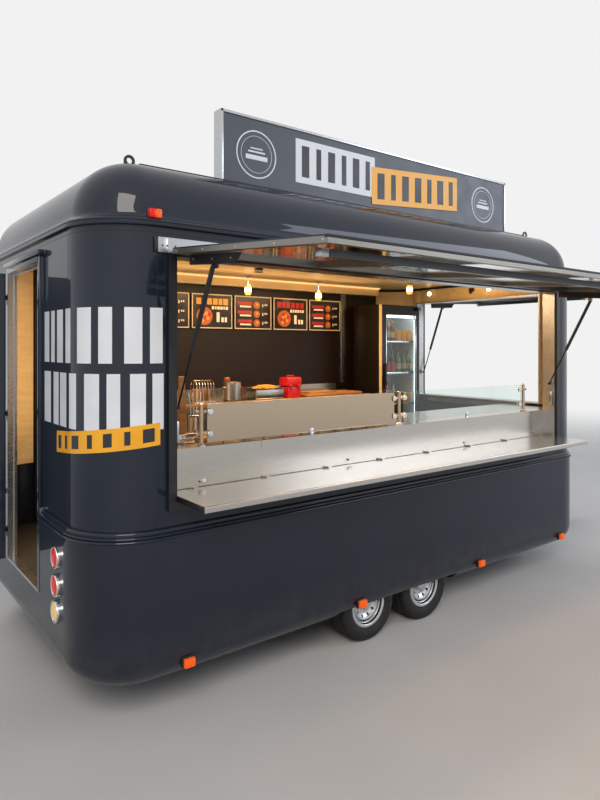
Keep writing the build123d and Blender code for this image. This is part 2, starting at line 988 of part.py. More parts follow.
with BuildPart() as jockey_wheel:
    axle = Plane(
        origin=(jockey_x - jockey_trail, jockey_y, jockey_radius),
        x_dir=(1, 0, 0),
        z_dir=(0, 1, 0),
    )
    with Locations(axle):
        Cylinder(jockey_radius, jockey_width)
        Cylinder(jockey_axle_radius + running_gap, jockey_width + overcut, mode=Mode.SUBTRACT)
    fillet(jockey_wheel.edges().filter_by(GeomType.CIRCLE).group_by(SortBy.RADIUS)[-1], 15)
save(jockey_wheel, "jockey_wheel")

# Serving shelf: a folded steel tray on a hinge line at its root
shelf_pin_y = -upstand_face - 6
shelf_pin_z = shelf_top + shelf_pin_rise
shelf_half = serving.width / 2 - 10
shelf_start = serving.axis[0] - shelf_half
shelf_end = serving.axis[0] + shelf_half
with BuildPart() as serving_shelf:
    block(
        (shelf_start, -shelf_reach, shelf_top - shelf_thickness + 0.5),
        (shelf_end, shelf_pin_y - 4, shelf_top),
    )
    bays = 4
    bay = (shelf_end - shelf_start - (bays + 1) * shelf_sheet) / bays
    for i in range(bays):
        start = shelf_start + shelf_sheet + i * (bay + shelf_sheet)
        block(
            (start, -shelf_reach + shelf_sheet, shelf_top - shelf_thickness),
            (start + bay, shelf_pin_y - 4 - shelf_sheet, shelf_top - shelf_sheet),
            mode=Mode.SUBTRACT,
        )
    for place in hinge_places(serving.width):
        eye = serving.axis[0] + place + 40
        block(
            (eye - shelf_knuckle / 2, shelf_pin_y - shelf_knuckle, shelf_top),
            (eye + shelf_knuckle / 2, shelf_pin_y + 4, shelf_top + 10),
        )
    bar(
        (shelf_start, shelf_pin_y, shelf_pin_z),
        (shelf_end, shelf_pin_y, shelf_pin_z),
        shelf_pin_radius + 0.4,
        mode=Mode.SUBTRACT,
    )
save(serving_shelf, "serving_shelf")

# Upstand behind the shelf, with the shelf's hinge pins
with BuildPart() as upstand:
    block(
        (serving_start, -upstand_face, shelf_top - 52),
        (
            serving_end,
            -upstand_face + upstand_thickness,
            worktop_top - worktop_thickness,
        ),
    )
    for place in hinge_places(serving.width):
        knuckle = serving.axis[0] + place + 18
        block(
            (knuckle - shelf_knuckle_pin / 2, shelf_pin_y - 5, shelf_top + 1),
            (knuckle + shelf_knuckle_pin / 2, -upstand_face, shelf_top + 12),
        )
        bar(
            (knuckle, shelf_pin_y, shelf_pin_z),
            (knuckle + 40, shelf_pin_y, shelf_pin_z),
            shelf_pin_radius,
        )
save(upstand, "upstand")

# Worktops: the serving side with its return and ledge, and the back counter
with BuildPart() as worktops:
    with BuildSketch(Plane.XY.offset(worktop_top - worktop_thickness)):
        with BuildLine():
            Polyline(
                (serving_start, -upstand_face - 4),
                (serving_end, -upstand_face - 4),
                (serving_end, -upstand_face),
                (serving_end + sleeve, -upstand_face),
                (serving_end + sleeve, -half_width),
                (body_length, -half_width),
                (body_length, fridge_front),
                (ledge_start, fridge_front),
                (ledge_start, worktop_front_edge),
                (return_start, worktop_front_edge),
                (return_start, worktop_edge),
                (serving_start, worktop_edge),
                close=True,
            )
        make_face()
        body_plan(inner_inset + seat_gap, mode=Mode.INTERSECT)
    extrude(amount=worktop_thickness)
    block(
        (serving_start, -upstand_face - 4, worktop_top),
        (serving_end, -upstand_face + marine_width, worktop_top + marine_edge),
    )
    block(
        (counter_start, counter_edge, counter_top - worktop_thickness),
        (counter_end, inner_face - lining, counter_top),
    )
    block(
        (counter_start, inner_face - lining - panel, counter_top),
        (counter_end, inner_face - lining, counter_top + splash_height),
    )
save(worktops, "worktops")

# Cabinets under the counters
with BuildPart() as cabinets:
    counter_base = counter_top - worktop_thickness
    block(
        (counter_start, counter_edge + counter_overhang, floor_top),
        (counter_end, counter_edge + counter_overhang + panel, counter_base),
    )
    for i in range(5):
        start = counter_start + i * (counter_end - counter_start - panel) / 4
        block(
            (start, counter_edge + counter_overhang, floor_top),
            (start + panel, inner_face - lining, counter_base),
        )
    cabinet_start = serving_start + 30
    block(
        (cabinet_start, worktop_edge - worktop_overhang - panel, floor_top),
        (ledge_start + 60, worktop_edge - worktop_overhang, worktop_top - worktop_thickness),
    )
    for i in range(6):
        start = cabinet_start + i * (ledge_start - cabinet_start) / 5
        block(
            (start, -upstand_face + upstand_thickness + 20, floor_top),
            (start + panel, worktop_edge - worktop_overhang, worktop_top - worktop_thickness),
        )
save(cabinets, "cabinets")

# Guard on the serving counter: three posts, a steel panel and a glass
guard_y = 30 - upstand_face
guard_places = (serving_start + 222, (serving_start + serving_end) / 2 + 18, serving_end - 239)
guard_foot = worktop_top + marine_edge
guard_top = 1570
guard_gap = 36
guard_panel_gap = 50
with BuildPart() as guard_frame:
    for place in guard_places:
        bar((place, guard_y, guard_foot), (place, guard_y, guard_top), guard_post_radius)
        bar(
            (place, guard_y, guard_foot),
            (place, guard_y, guard_foot + 6),
            2 * guard_post_radius,
        )
        for height in guard_bar_heights:
            bar(
                (place - guard_gap, guard_y, height),
                (place + guard_gap, guard_y, height),
                guard_bar_radius,
            )
    block(
        (guard_places[0] + guard_gap, guard_y - 3, worktop_top + guard_stand),
        (guard_places[1] - guard_panel_gap, guard_y + 3, guard_top),
    )
save(guard_frame, "guard_frame")

with BuildPart() as guard_glass:
    block(
        (guard_places[1] + guard_gap, guard_y - 4, worktop_top + guard_stand),
        (guard_places[2] - guard_gap, guard_y + 4, guard_top),
    )
save(guard_glass, "guard_glass")

# Far wall lining, menu boards and the upright rail
with BuildPart() as lining_far:
    block(
        (corner_radius + 10, inner_face - lining, floor_top),
        (body_length - corner_radius - 10, inner_face, roof_bottom),
    )
save(lining_far, "lining_far")

board_count = 6
board_width = 420
board_height = 315
board_bottom = 2050
board_start = counter_start + 240
board_pitch = (fridge_start - 165 - board_width - board_start) / (board_count - 1)
with BuildPart() as menu_boards:
    for i in range(board_count):
        start = board_start + i * board_pitch
        block(
            (start, inner_face - lining - 20, board_bottom),
            (start + board_width, inner_face - lining, board_bottom + board_height),
        )
save(menu_boards, "menu_boards")

# Ceiling with the lit cornice along the far wall
cornice_back = half_width - roof_inset - roof_wall - seat_gap
with BuildPart() as ceiling:
    with BuildSketch(Plane.XY.offset(ceiling_bottom)):
        body_plan(roof_inset + roof_wall + seat_gap)
    extrude(amount=ceiling_thickness)
    block(
        (corner_radius + 50, cornice_back - cornice_depth, cornice_bottom),
        (body_length - corner_radius - 50, cornice_back, ceiling_bottom),
    )
save(ceiling, "ceiling")

# Drinks fridge in the front far corner, with its own glass door
fridge_pin_x = fridge_end - 6
fridge_pin_y = fridge_front - 6
fridge_pin_radius = 4
fridge_hinges = (floor_top + 12, fridge_top - 48)
with BuildPart() as fridge:
    block((fridge_start, fridge_front + 32, floor_top), (fridge_end, fridge_back, fridge_top))
    block(
        (fridge_start + fridge_wall, fridge_front + 30, floor_top + 120),
        (fridge_end - fridge_wall, fridge_back - fridge_wall, fridge_top - 100),
        mode=Mode.SUBTRACT,
    )
    for i in range(4):
        height = floor_top + fridge_shelf_start + i * fridge_shelf_pitch
        block(
            (fridge_start + fridge_wall, fridge_front + 50, height),
            (fridge_end - fridge_wall, fridge_back - fridge_wall, height + 8),
        )
    for height in fridge_hinges:
        block(
            (fridge_pin_x - 10, fridge_pin_y - 8, height),
            (fridge_end, fridge_front + 32, height + 8),
        )
        bar(
            (fridge_pin_x, fridge_pin_y, height),
            (fridge_pin_x, fridge_pin_y, height + 36),
            fridge_pin_radius,
        )
save(fridge, "fridge")

door_low = fridge_hinges[0] + 13
door_high = fridge_hinges[1] - 5
glass_start = fridge_start + 6 + fridge_door_border
glass_end = fridge_end - 12 - fridge_door_border
with BuildPart() as fridge_door:
    block(
        (fridge_start + 6, fridge_front, door_low),
        (fridge_end - 12, fridge_front + fridge_door_thickness, door_high),
    )
    block(
        (glass_start, fridge_front - overcut, door_low + fridge_door_border),
        (glass_end, fridge_front + fridge_door_thickness + overcut, door_high - fridge_door_border),
        mode=Mode.SUBTRACT,
    )
    block(
        (fridge_start + 20, fridge_front - 30, fridge_handle),
        (fridge_start + 34, fridge_front, fridge_handle + fridge_handle_length),
    )
    for height in fridge_hinges:
        eye = height + 16
        bar((fridge_pin_x, fridge_pin_y, eye), (fridge_pin_x, fridge_pin_y, eye + 14), 7)
        block((fridge_pin_x - 30, fridge_pin_y - 3, eye), (fridge_pin_x, fridge_front, eye + 14))
        if height > door_high - 20:
            block(
                (fridge_pin_x - 30, fridge_front, door_high),
                (fridge_pin_x - 12, fridge_front + fridge_door_thickness, eye + 14),
            )
        bar(
            (fridge_pin_x, fridge_pin_y, eye - 1),
            (fridge_pin_x, fridge_pin_y, eye + 20),
            fridge_pin_radius + running_gap,
            mode=Mode.SUBTRACT,
        )
save(fridge_door, "fridge_door")

with BuildPart() as fridge_glass:
    block(
        (glass_start + seat_gap, fridge_front + 8, door_low + fridge_door_border + seat_gap),
        (glass_end - seat_gap, fridge_front + 14, door_high - fridge_door_border - seat_gap),
    )
save(fridge_glass, "fridge_glass")

# Rear doorway: an aluminium frame with a stop, hinge pins and a drip rail
with BuildPart() as door_frame:
    block((0, -door_cut, floor_top), (door_frame_depth, door_cut, door_top))
    block(
        (-overcut, -door_half_opening, floor_top + door_sill_height),
        (door_leaf_thickness + door_gap, door_half_opening, door_head),
        mode=Mode.SUBTRACT,
    )
    block(
        (door_leaf_thickness, door_stop - door_half_opening, floor_top + door_sill_height),
        (door_frame_depth + overcut, door_half_opening - door_stop, door_head - door_stop),
        mode=Mode.SUBTRACT,
    )
    for height in door_hinges:
        block(
            (door_hinge_x - door_pin_radius, door_hinge_y - 6, height - door_knuckle),
            (0, door_hinge_y + 28, height - 6),
        )
        bar(
            (door_hinge_x, door_hinge_y, height - door_knuckle),
            (door_hinge_x, door_hinge_y, height + door_knuckle + 10),
            door_pin_radius,
        )
    block(
        (wall_inset - 20, -door_cut - drip_rail_overhang, door_top + 5),
        (wall_inset, door_cut + drip_rail_overhang, door_top + 5 + drip_rail_height),
    )
save(door_frame, "door_frame")

open_turn = -door_swing
door_plane = Plane(
    origin=(door_hinge_x, door_hinge_y, 0),
    x_dir=(math.sin(open_turn), -math.cos(open_turn), 0),
    z_dir=(0, 0, 1),
)
leaf_face = door_hinge_stand_off
with BuildPart(door_plane) as rear_door:
    block(
        (door_gap * 2, leaf_face, floor_top + door_sill_height + door_gap),
        (door_leaf_end, leaf_face + door_leaf_thickness, door_head - door_gap),
    )
    for height in door_hinges:
        with Locations((0, 0, height + door_knuckle / 2)):
            Cylinder(door_hinge_stand_off - 0.5, door_knuckle)
        block((0, door_pin_radius, height), (70, leaf_face, height + door_knuckle))
        with Locations((0, 0, height + door_knuckle / 2)):
            Cylinder(door_pin_radius + running_gap, door_knuckle + overcut, mode=Mode.SUBTRACT)
    block(
        (door_leaf_end - 90, leaf_face - 10, door_handle),
        (door_leaf_end - 50, leaf_face, door_handle + handle_plate_height),
    )
    block(
        (door_leaf_end - 80, leaf_face - handle_stand_off, door_handle + 10),
        (door_leaf_end - 60, leaf_face - 30, door_handle + handle_plate_height - 10),
    )
    for height in (door_handle + 10, door_handle + handle_plate_height - 25):
        block(
            (door_leaf_end - 80, leaf_face - 30, height),
            (door_leaf_end - 60, leaf_face - 10, height + 15),
        )
save(rear_door, "rear_door")

# Sign box on the roof, with its feet, stays and the lifting eyes
sign_back = sign_face_place + sign_depth
with BuildPart() as sign_frame:
    block((sign_start, sign_face_place, sign_bottom), (sign_end, sign_back, sign_top))
    block(
        (sign_start + sign_border, sign_face_place - overcut, sign_bottom + sign_border),
        (sign_end - sign_border, sign_back + overcut, sign_top - sign_border),
        mode=Mode.SUBTRACT,
    )
save(sign_frame, "sign_frame")

with BuildPart() as sign_face:
    for place in (sign_face_place + 6, sign_back - 6 - sign_panel):
        block(
            (sign_start + sign_border, place, sign_bottom + sign_border),
            (sign_end - sign_border, place + sign_panel, sign_top - sign_border),
        )
save(sign_face, "sign_face")

lifting_y = half_width - 370
lifting_places = (
    (corner_radius, -lifting_y),
    (corner_radius, lifting_y),
    (body_length - corner_radius, -lifting_y),
    (body_length - corner_radius, lifting_y),
)
sign_feet = (
    sign_start + sign_foot_inset,
    (sign_start + sign_end) / 2,
    sign_end - sign_foot_inset,
)
with BuildPart() as roof_fittings:
    for place in sign_feet:
        block((place - 30, sign_face_place, roof_top), (place + 30, sign_back, sign_bottom))
        stay_top = sign_top - 60
        block(
            (place - 20, sign_back - 6, stay_top - 15),
            (place + 20, sign_back + 12, stay_top + 15),
        )
        stay_foot = sign_back + sign_stay_reach
        bar(
            (place, sign_back + 10, stay_top),
            (place, stay_foot, roof_top + 8),
            sign_stay_radius,
        )
        block((place - 30, stay_foot - 40, roof_top), (place + 30, stay_foot + 40, roof_top + 10))
    for x, y in lifting_places:
        block((x - 35, y - 25, roof_top), (x + 35, y + 25, roof_top + 8))
        block((x - 30, y - 5, roof_top + 8), (x + 30, y + 5, roof_top + 30))
        eye = roof_top + lifting_rise
        bar((x, y - 5, eye), (x, y + 5, eye), lifting_eye_radius)
        bar(
            (x, y - overcut, eye),
            (x, y + overcut, eye),
            lifting_bore_radius,
            mode=Mode.SUBTRACT,
        )
save(roof_fittings, "roof_fittings")

# Lamps: three round ones each side at the rear, markers along the flanks and on the roof
red_heights = (810, 666)
amber_heights = (534,)
marker_places = (506, 0.387 * body_length, 0.6584 * body_length, body_length - 411)
marker_bottom = 280
marker_top = 325
roof_marker_start = 308
roof_face = half_width - roof_inset
with BuildPart() as lamp_mounts:
    for side in (-1, 1):
        for height in red_heights + amber_heights:
            y = side * tail_lamp_offset
            bar((0, y, height), (-tail_lamp_depth, y, height), tail_lamp_radius)
            bar(
                (overcut, y, height),
                (-tail_lamp_depth - overcut, y, height),
                tail_lamp_radius - lens_border,
                mode=Mode.SUBTRACT,
            )
        low, high = sorted((side * half_width, side * (half_width + marker_strap)))
        for place in marker_places:
            block((place - 25, low, marker_bottom), (place + 25, high, 400))
save(lamp_mounts, "lamp_mounts")

for colour, heights in (("red", red_heights), ("amber", amber_heights)):
    with BuildPart() as lenses:
        for side in (-1, 1):
            for height in heights:
                y = side * tail_lamp_offset
                radius = tail_lamp_radius - lens_border - seat_gap
                bar((0, y, height), (-lens_depth, y, height), radius)
            start = roof_marker_start
            if colour == "amber":
                start += roof_marker_length
            low, high = sorted((side * roof_face, side * (roof_face + 30)))
            block(
                (start, low, roof_bottom + 12),
                (start + roof_marker_length, high, roof_bottom + 56),
            )
            if colour == "amber":
                low, high = sorted((side * (half_width + marker_strap), side * box_far))
                for place in marker_places:
                    block(
                        (place - marker_half, low, marker_bottom),
                        (place + marker_half, high, marker_top),
                    )
    save(lenses, f"{colour}_lamps")
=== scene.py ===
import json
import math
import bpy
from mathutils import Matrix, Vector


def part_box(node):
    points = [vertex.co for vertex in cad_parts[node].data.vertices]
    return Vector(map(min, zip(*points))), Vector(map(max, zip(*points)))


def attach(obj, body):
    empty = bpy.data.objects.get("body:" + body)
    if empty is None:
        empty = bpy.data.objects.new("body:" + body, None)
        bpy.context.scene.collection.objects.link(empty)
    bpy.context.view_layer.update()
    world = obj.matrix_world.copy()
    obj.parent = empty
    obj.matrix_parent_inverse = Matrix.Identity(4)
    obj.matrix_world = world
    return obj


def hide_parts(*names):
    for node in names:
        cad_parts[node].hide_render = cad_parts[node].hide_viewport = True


bl_info = {
    "name": "Food Trailer",
    "version": (1, 0, 0),
    "blender": (4, 5, 0),
    "location": "View3D > Sidebar > Trailer",
    "description": "Dresses the food trailer's frame with its paint, metalwork, kitchen and sign",
    "category": "Object",
}

import bmesh
import bpy
import numpy as np

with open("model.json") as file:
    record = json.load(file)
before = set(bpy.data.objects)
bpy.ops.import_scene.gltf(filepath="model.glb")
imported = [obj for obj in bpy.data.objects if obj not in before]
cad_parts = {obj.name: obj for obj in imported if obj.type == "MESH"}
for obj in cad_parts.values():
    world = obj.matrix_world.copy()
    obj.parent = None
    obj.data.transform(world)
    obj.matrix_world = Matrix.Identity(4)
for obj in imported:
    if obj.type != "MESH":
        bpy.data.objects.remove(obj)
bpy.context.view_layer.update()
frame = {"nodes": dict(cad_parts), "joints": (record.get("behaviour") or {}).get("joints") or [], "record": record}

# The frame's own places, in metres. body() turns a place measured from the rear face of
# the tub, the centre line and the ground into the frame.
TUB_LOW, TUB_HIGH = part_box("lower_tub")
HOME = np.array([TUB_LOW.x, (TUB_LOW.y + TUB_HIGH.y) / 2, 0.0])
LENGTH = TUB_HIGH.x - TUB_LOW.x
HALF = (TUB_HIGH.y - TUB_LOW.y) / 2
# The tub's corner radius, how far the walls' outer and inner faces lie inside the tub's
# sides, and the walls' lower edge
CORNER = 0.35
WALL_INSET, INNER_INSET = 0.022, 0.052
WALL_LOW = 0.991

TO_FRONT, TO_REAR = (1, 0, 0), (-1, 0, 0)
TO_FAR, TO_SERVING = (0, 1, 0), (0, -1, 0)
UP, DOWN = (0, 0, 1), (0, 0, -1)


def body(*place):
    """A place on the body, as a point of the frame."""
    return HOME + np.array(place, float)


# Colour and nodes

MM = 0.001
BACKDROP = "#f2f2f2"


def linear(colour):
    """An sRGB hex colour as linear values: each channel over 0.04045 is raised to 2.4."""
    channels = np.array([int(colour[i : i + 2], 16) / 255 for i in (1, 3, 5)])
    low = channels / 12.92
    high = ((channels + 0.055) / 1.055) ** 2.4
    return (*np.where(channels <= 0.04045, low, high), 1.0)


class Nodes:
    """The node tree of a material or of the world, being made."""

    def __init__(self, owner):
        owner.use_nodes = True
        self.tree = owner.node_tree
        self.tree.nodes.clear()

    def add(self, kind, out=0, **inputs):
        """Adds a node and returns one of its outputs, if it has any. An input takes a value or
        another node's output; a name that is no input is set on the node itself."""
        node = self.tree.nodes.new("ShaderNode" + kind)
        for name, value in inputs.items():
            sockets = [s for s in node.inputs if s.identifier.replace(" ", "_") == name]
            if not sockets:
                setattr(node, name, value)
            elif isinstance(value, bpy.types.NodeSocket):
                self.tree.links.new(value, sockets[0])
            else:
                sockets[0].default_value = value
        return node.outputs[out] if node.outputs else None

    def seen(self):
        """1 for a ray from the camera, from gloss or through glass, and 0 for any other."""
        camera, glossy, through = (
            self.add("LightPath", kind)
            for kind in ("Is Camera Ray", "Is Glossy Ray", "Is Transmission Ray")
        )
        either = self.add("Math", operation="MAXIMUM", Value=camera, Value_001=glossy)
        return self.add("Math", operation="MAXIMUM", Value=either, Value_001=through)


class Finish(Nodes):
    """A material being made, and the piece's own coordinates in metres."""

    def __init__(self, name):
        self.material = bpy.data.materials.new(name)
        super().__init__(self.material)
        self.place = self.add("TexCoord", "Object")

    def tone(self, value, start, end, first, second):
        """A colour that goes from the first to the second while value goes from start to
        end. Each colour is an sRGB hex value or a node's output."""
        share = self.add("MapRange", Value=value, From_Min=start, From_Max=end)
        first, second = (linear(c) if isinstance(c, str) else c for c in (first, second))
        return self.add("Mix", 2, data_type="RGBA", Factor_Float=share, A_Color=first, B_Color=second)

    def end(self, shader):
        """Ends the material with a shader and returns it."""
        self.add("OutputMaterial", Surface=shader)
        return self.material

    def close(self, **inputs):
        """Ends the material with the plain surface shader and returns it."""
        return self.end(self.add("BsdfPrincipled", **inputs))


# Finishes


def gloss_coachwork(name, colour, light, dust):
    """Two-pack enamel, sprayed on moulded panels and polished: a deep, sharp gloss over a
    faint orange peel about 6 mm across, with a film of road dust low down."""
    made = Finish(name)
    cloud = made.add("TexNoise", Vector=made.place, Scale=1 / (700 * MM), Detail=4.0)
    speck = made.add("TexNoise", Vector=made.place, Scale=1 / (110 * MM), Detail=5.0)
    peel = made.add("TexNoise", Vector=made.place, Scale=1 / (6 * MM), Detail=1.0)
    height = made.add("SeparateXYZ", "Z", Vector=made.place)
    low_down = made.add(
        "MapRange", Value=height, From_Min=0.21, From_Max=0.55, To_Min=0.45, To_Max=0.0
    )
    patch = made.add("MapRange", Value=speck, From_Min=0.35, From_Max=0.7, To_Min=0.2)
    film = made.add("Math", operation="MULTIPLY", Value=low_down, Value_001=patch)
    enamel = made.tone(cloud, 0.3, 0.75, colour, light)
    return made.close(
        Base_Color=made.tone(film, 0.0, 1.0, enamel, dust),
        Roughness=0.5,
        Specular_IOR_Level=0.1,
        Coat_Weight=0.7,
        Coat_Roughness=0.02,
        Normal=made.add("Bump", Height=peel, Strength=0.04, Distance=0.6 * MM),
    )


def brushed_metal(name, colour, light, rough, run, depth=0.03):
    """Sheet or extruded metal, brushed one way: the highlight draws out across fine streaks,
    drawn 2.4 mm wide so that they show, and far longer along the run."""
    made = Finish(name)
    along = made.add("Mapping", Vector=made.place, Scale=run)
    streak = made.add("TexNoise", Vector=along, Scale=1 / (2.4 * MM), Detail=4.0)
    smear = made.add("TexNoise", Vector=made.place, Scale=1 / (250 * MM), Detail=4.0)
    fine = made.add(
        "MapRange", Value=streak, From_Min=0.3, From_Max=0.7, To_Min=rough - 0.02, To_Max=rough + 0.02
    )
    hands = made.add(
        "MapRange", Value=smear, From_Min=0.3, From_Max=0.7, To_Min=-0.015, To_Max=0.02
    )
    return made.close(
        Base_Color=made.tone(streak, 0.3, 0.7, colour, light),
        Metallic=1.0,
        Roughness=made.add("Math", operation="ADD", Value=fine, Value_001=hands),
        Normal=made.add("Bump", Height=streak, Strength=depth, Distance=0.4 * MM),
    )


def smooth_coat(name, colour, light, rough, grain=1.1, depth=0.12, metallic=0.0, coat=0.0):
    """A powder coat, lacquer, film or moulded plastic: one colour that drifts a little over
    140 mm, with a grain as wide as its maker's method leaves, in millimetres."""
    made = Finish(name)
    cloud = made.add("TexNoise", Vector=made.place, Scale=1 / (140 * MM), Detail=4.0)
    pebble = made.add("TexNoise", Vector=made.place, Scale=1 / (grain * MM), Detail=2.0)
    return made.close(
        Base_Color=made.tone(cloud, 0.3, 0.72, colour, light),
        Metallic=metallic,
        Roughness=made.add(
            "MapRange", Value=cloud, From_Min=0.3, From_Max=0.7, To_Min=rough - 0.05, To_Max=rough + 0.08
        ),
        Coat_Weight=coat,
        Coat_Roughness=0.06,
        Normal=made.add("Bump", Height=pebble, Strength=depth, Distance=0.5 * MM),
    )


def galvanised_steel(name, dark, light):
    """Mild steel dipped in zinc: flat crystals about 12 mm across, each with its own sheen."""
    made = Finish(name)
    crystal = made.add("TexVoronoi", "Color", Vector=made.place, Scale=1 / (12 * MM))
    shade = made.add("SeparateColor", Color=crystal)
    drip = made.add("TexNoise", Vector=made.place, Scale=1 / (16 * MM), Detail=3.0)
    return made.close(
        Base_Color=made.tone(shade, 0.0, 1.0, dark, light),
        Metallic=1.0,
        Roughness=made.add("MapRange", Value=shade, To_Min=0.34, To_Max=0.55),
        Normal=made.add("Bump", Height=drip, Strength=0.1, Distance=0.8 * MM),
    )


def wood_grain(name, dark, light, rough, run):
    """Veneer or laminate with a wood's figure: long wavering bands 40 mm apart over fibres
    4 mm apart, under a thin satin lacquer."""
    made = Finish(name)
    along = made.add("Mapping", Vector=made.place, Scale=run)
    band = made.add("TexNoise", Vector=along, Scale=1 / (40 * MM), Detail=6.0, Roughness=0.62)
    fibre = made.add("TexNoise", Vector=along, Scale=1 / (4 * MM), Detail=3.0)
    grain = made.add("Mix", Factor_Float=0.25, A_Float=band, B_Float=fibre)
    return made.close(
        Base_Color=made.tone(grain, 0.33, 0.66, dark, light),
        Roughness=made.add(
            "MapRange", Value=grain, From_Min=0.35, From_Max=0.65, To_Min=rough + 0.1, To_Max=rough - 0.06
        ),
        Specular_IOR_Level=0.3,
        Coat_Weight=0.08,
        Coat_Roughness=0.25,
        Normal=made.add("Bump", Height=grain, Strength=0.1, Distance=0.6 * MM),
    )


def clear_sheet(name, tint, light):
    """Float glass, toughened: clear, with a faint green body that drifts over 300 mm."""
    made = Finish(name)
    cloud = made.add("TexNoise", Vector=made.place, Scale=1 / (300 * MM), Detail=2.0)
    return made.close(
        Base_Color=made.tone(cloud, 0.2, 0.8, tint, light),
        Transmission_Weight=1.0,
        Roughness=0.0,
        IOR=1.45,
    )


def moulded_lens(name, colour, light):
    """Acrylic, moulded with prisms 3 mm apart behind a polished face: dark between the
    prisms and bright on them as a painted highlight, and given a faint painted glow from within, both standing in
    for the daylight they send back."""
    made = Finish(name)
    prism = made.add("TexVoronoi", "Distance", Vector=made.place, Scale=1 / (3 * MM))
    # Bright on the prisms and dark between them: a painted highlight for the daylight they send back
    tone = made.tone(prism, 0.0, 0.75, light, colour)
    return made.close(
        Base_Color=tone,
        # Emission: a painted glow that stands in for the daylight the prisms send back
        Emission_Color=tone,
        Emission_Strength=0.35,
        Roughness=0.3,
        Specular_IOR_Level=0.25,
        Coat_Weight=0.25,
        Coat_Roughness=0.02,
        Normal=made.add("Bump", Height=prism, Strength=0.2, Distance=1 * MM),
    )


def opal_glow(name, colour, light, strength):
    """Opal acrylic over lamps: even light with a faint mottle 25 mm across."""
    made = Finish(name)
    mottle = made.add("TexNoise", Vector=made.place, Scale=1 / (25 * MM), Detail=2.0)
    tone = made.tone(mottle, 0.3, 0.7, colour, light)
    return made.close(
        Base_Color=tone, Emission_Color=tone, Emission_Strength=strength, Roughness=0.4
    )


def moulded_rubber(name, dark, light):
    """Black rubber, moulded and cured: matt, with a bloom of dust that drifts over 70 mm and
    a grain about 2.4 mm across."""
    made = Finish(name)
    cloud = made.add("TexNoise", Vector=made.place, Scale=1 / (70 * MM), Detail=5.0)
    grain = made.add("TexNoise", Vector=made.place, Scale=1 / (2.4 * MM), Detail=2.0)
    return made.close(
        Base_Color=made.tone(cloud, 0.35, 0.75, dark, light),
        Roughness=made.add(
            "MapRange", Value=cloud, From_Min=0.3, From_Max=0.7, To_Min=0.62, To_Max=0.85
        ),
        Normal=made.add("Bump", Height=grain, Strength=0.25, Distance=0.6 * MM),
    )


def studio_floor(name, colour, light, backdrop):
    """Matt painted floor: flat, with a faint drift over 900 mm. Far from the middle, what
    looks at it or is mirrored in gloss sees the backdrop's own colour."""
    made = Finish(name)
    cloud = made.add("TexNoise", Vector=made.place, Scale=1 / (900 * MM), Detail=2.0)
    paint = made.add(
        "BsdfPrincipled", Base_Color=made.tone(cloud, 0.3, 0.7, colour, light), Roughness=0.75
    )
    glow = made.add("Emission", Color=linear(backdrop), Strength=1.0)
    away = made.add("VectorMath", "Value", operation="LENGTH", Vector=made.place)
    fade = made.add("MapRange", Value=away, From_Min=6.0, From_Max=17.0, interpolation_type="SMOOTHSTEP")
    share = made.add("Math", operation="MULTIPLY", Value=fade, Value_001=made.seen())
    return made.end(made.add("MixShader", Fac=share, Shader=paint, Shader_001=glow))


# Scales that draw a texture out along the trailer or upwards
ALONG_X, ALONG_Z = (0.03, 1, 1), (1, 1, 0.03)


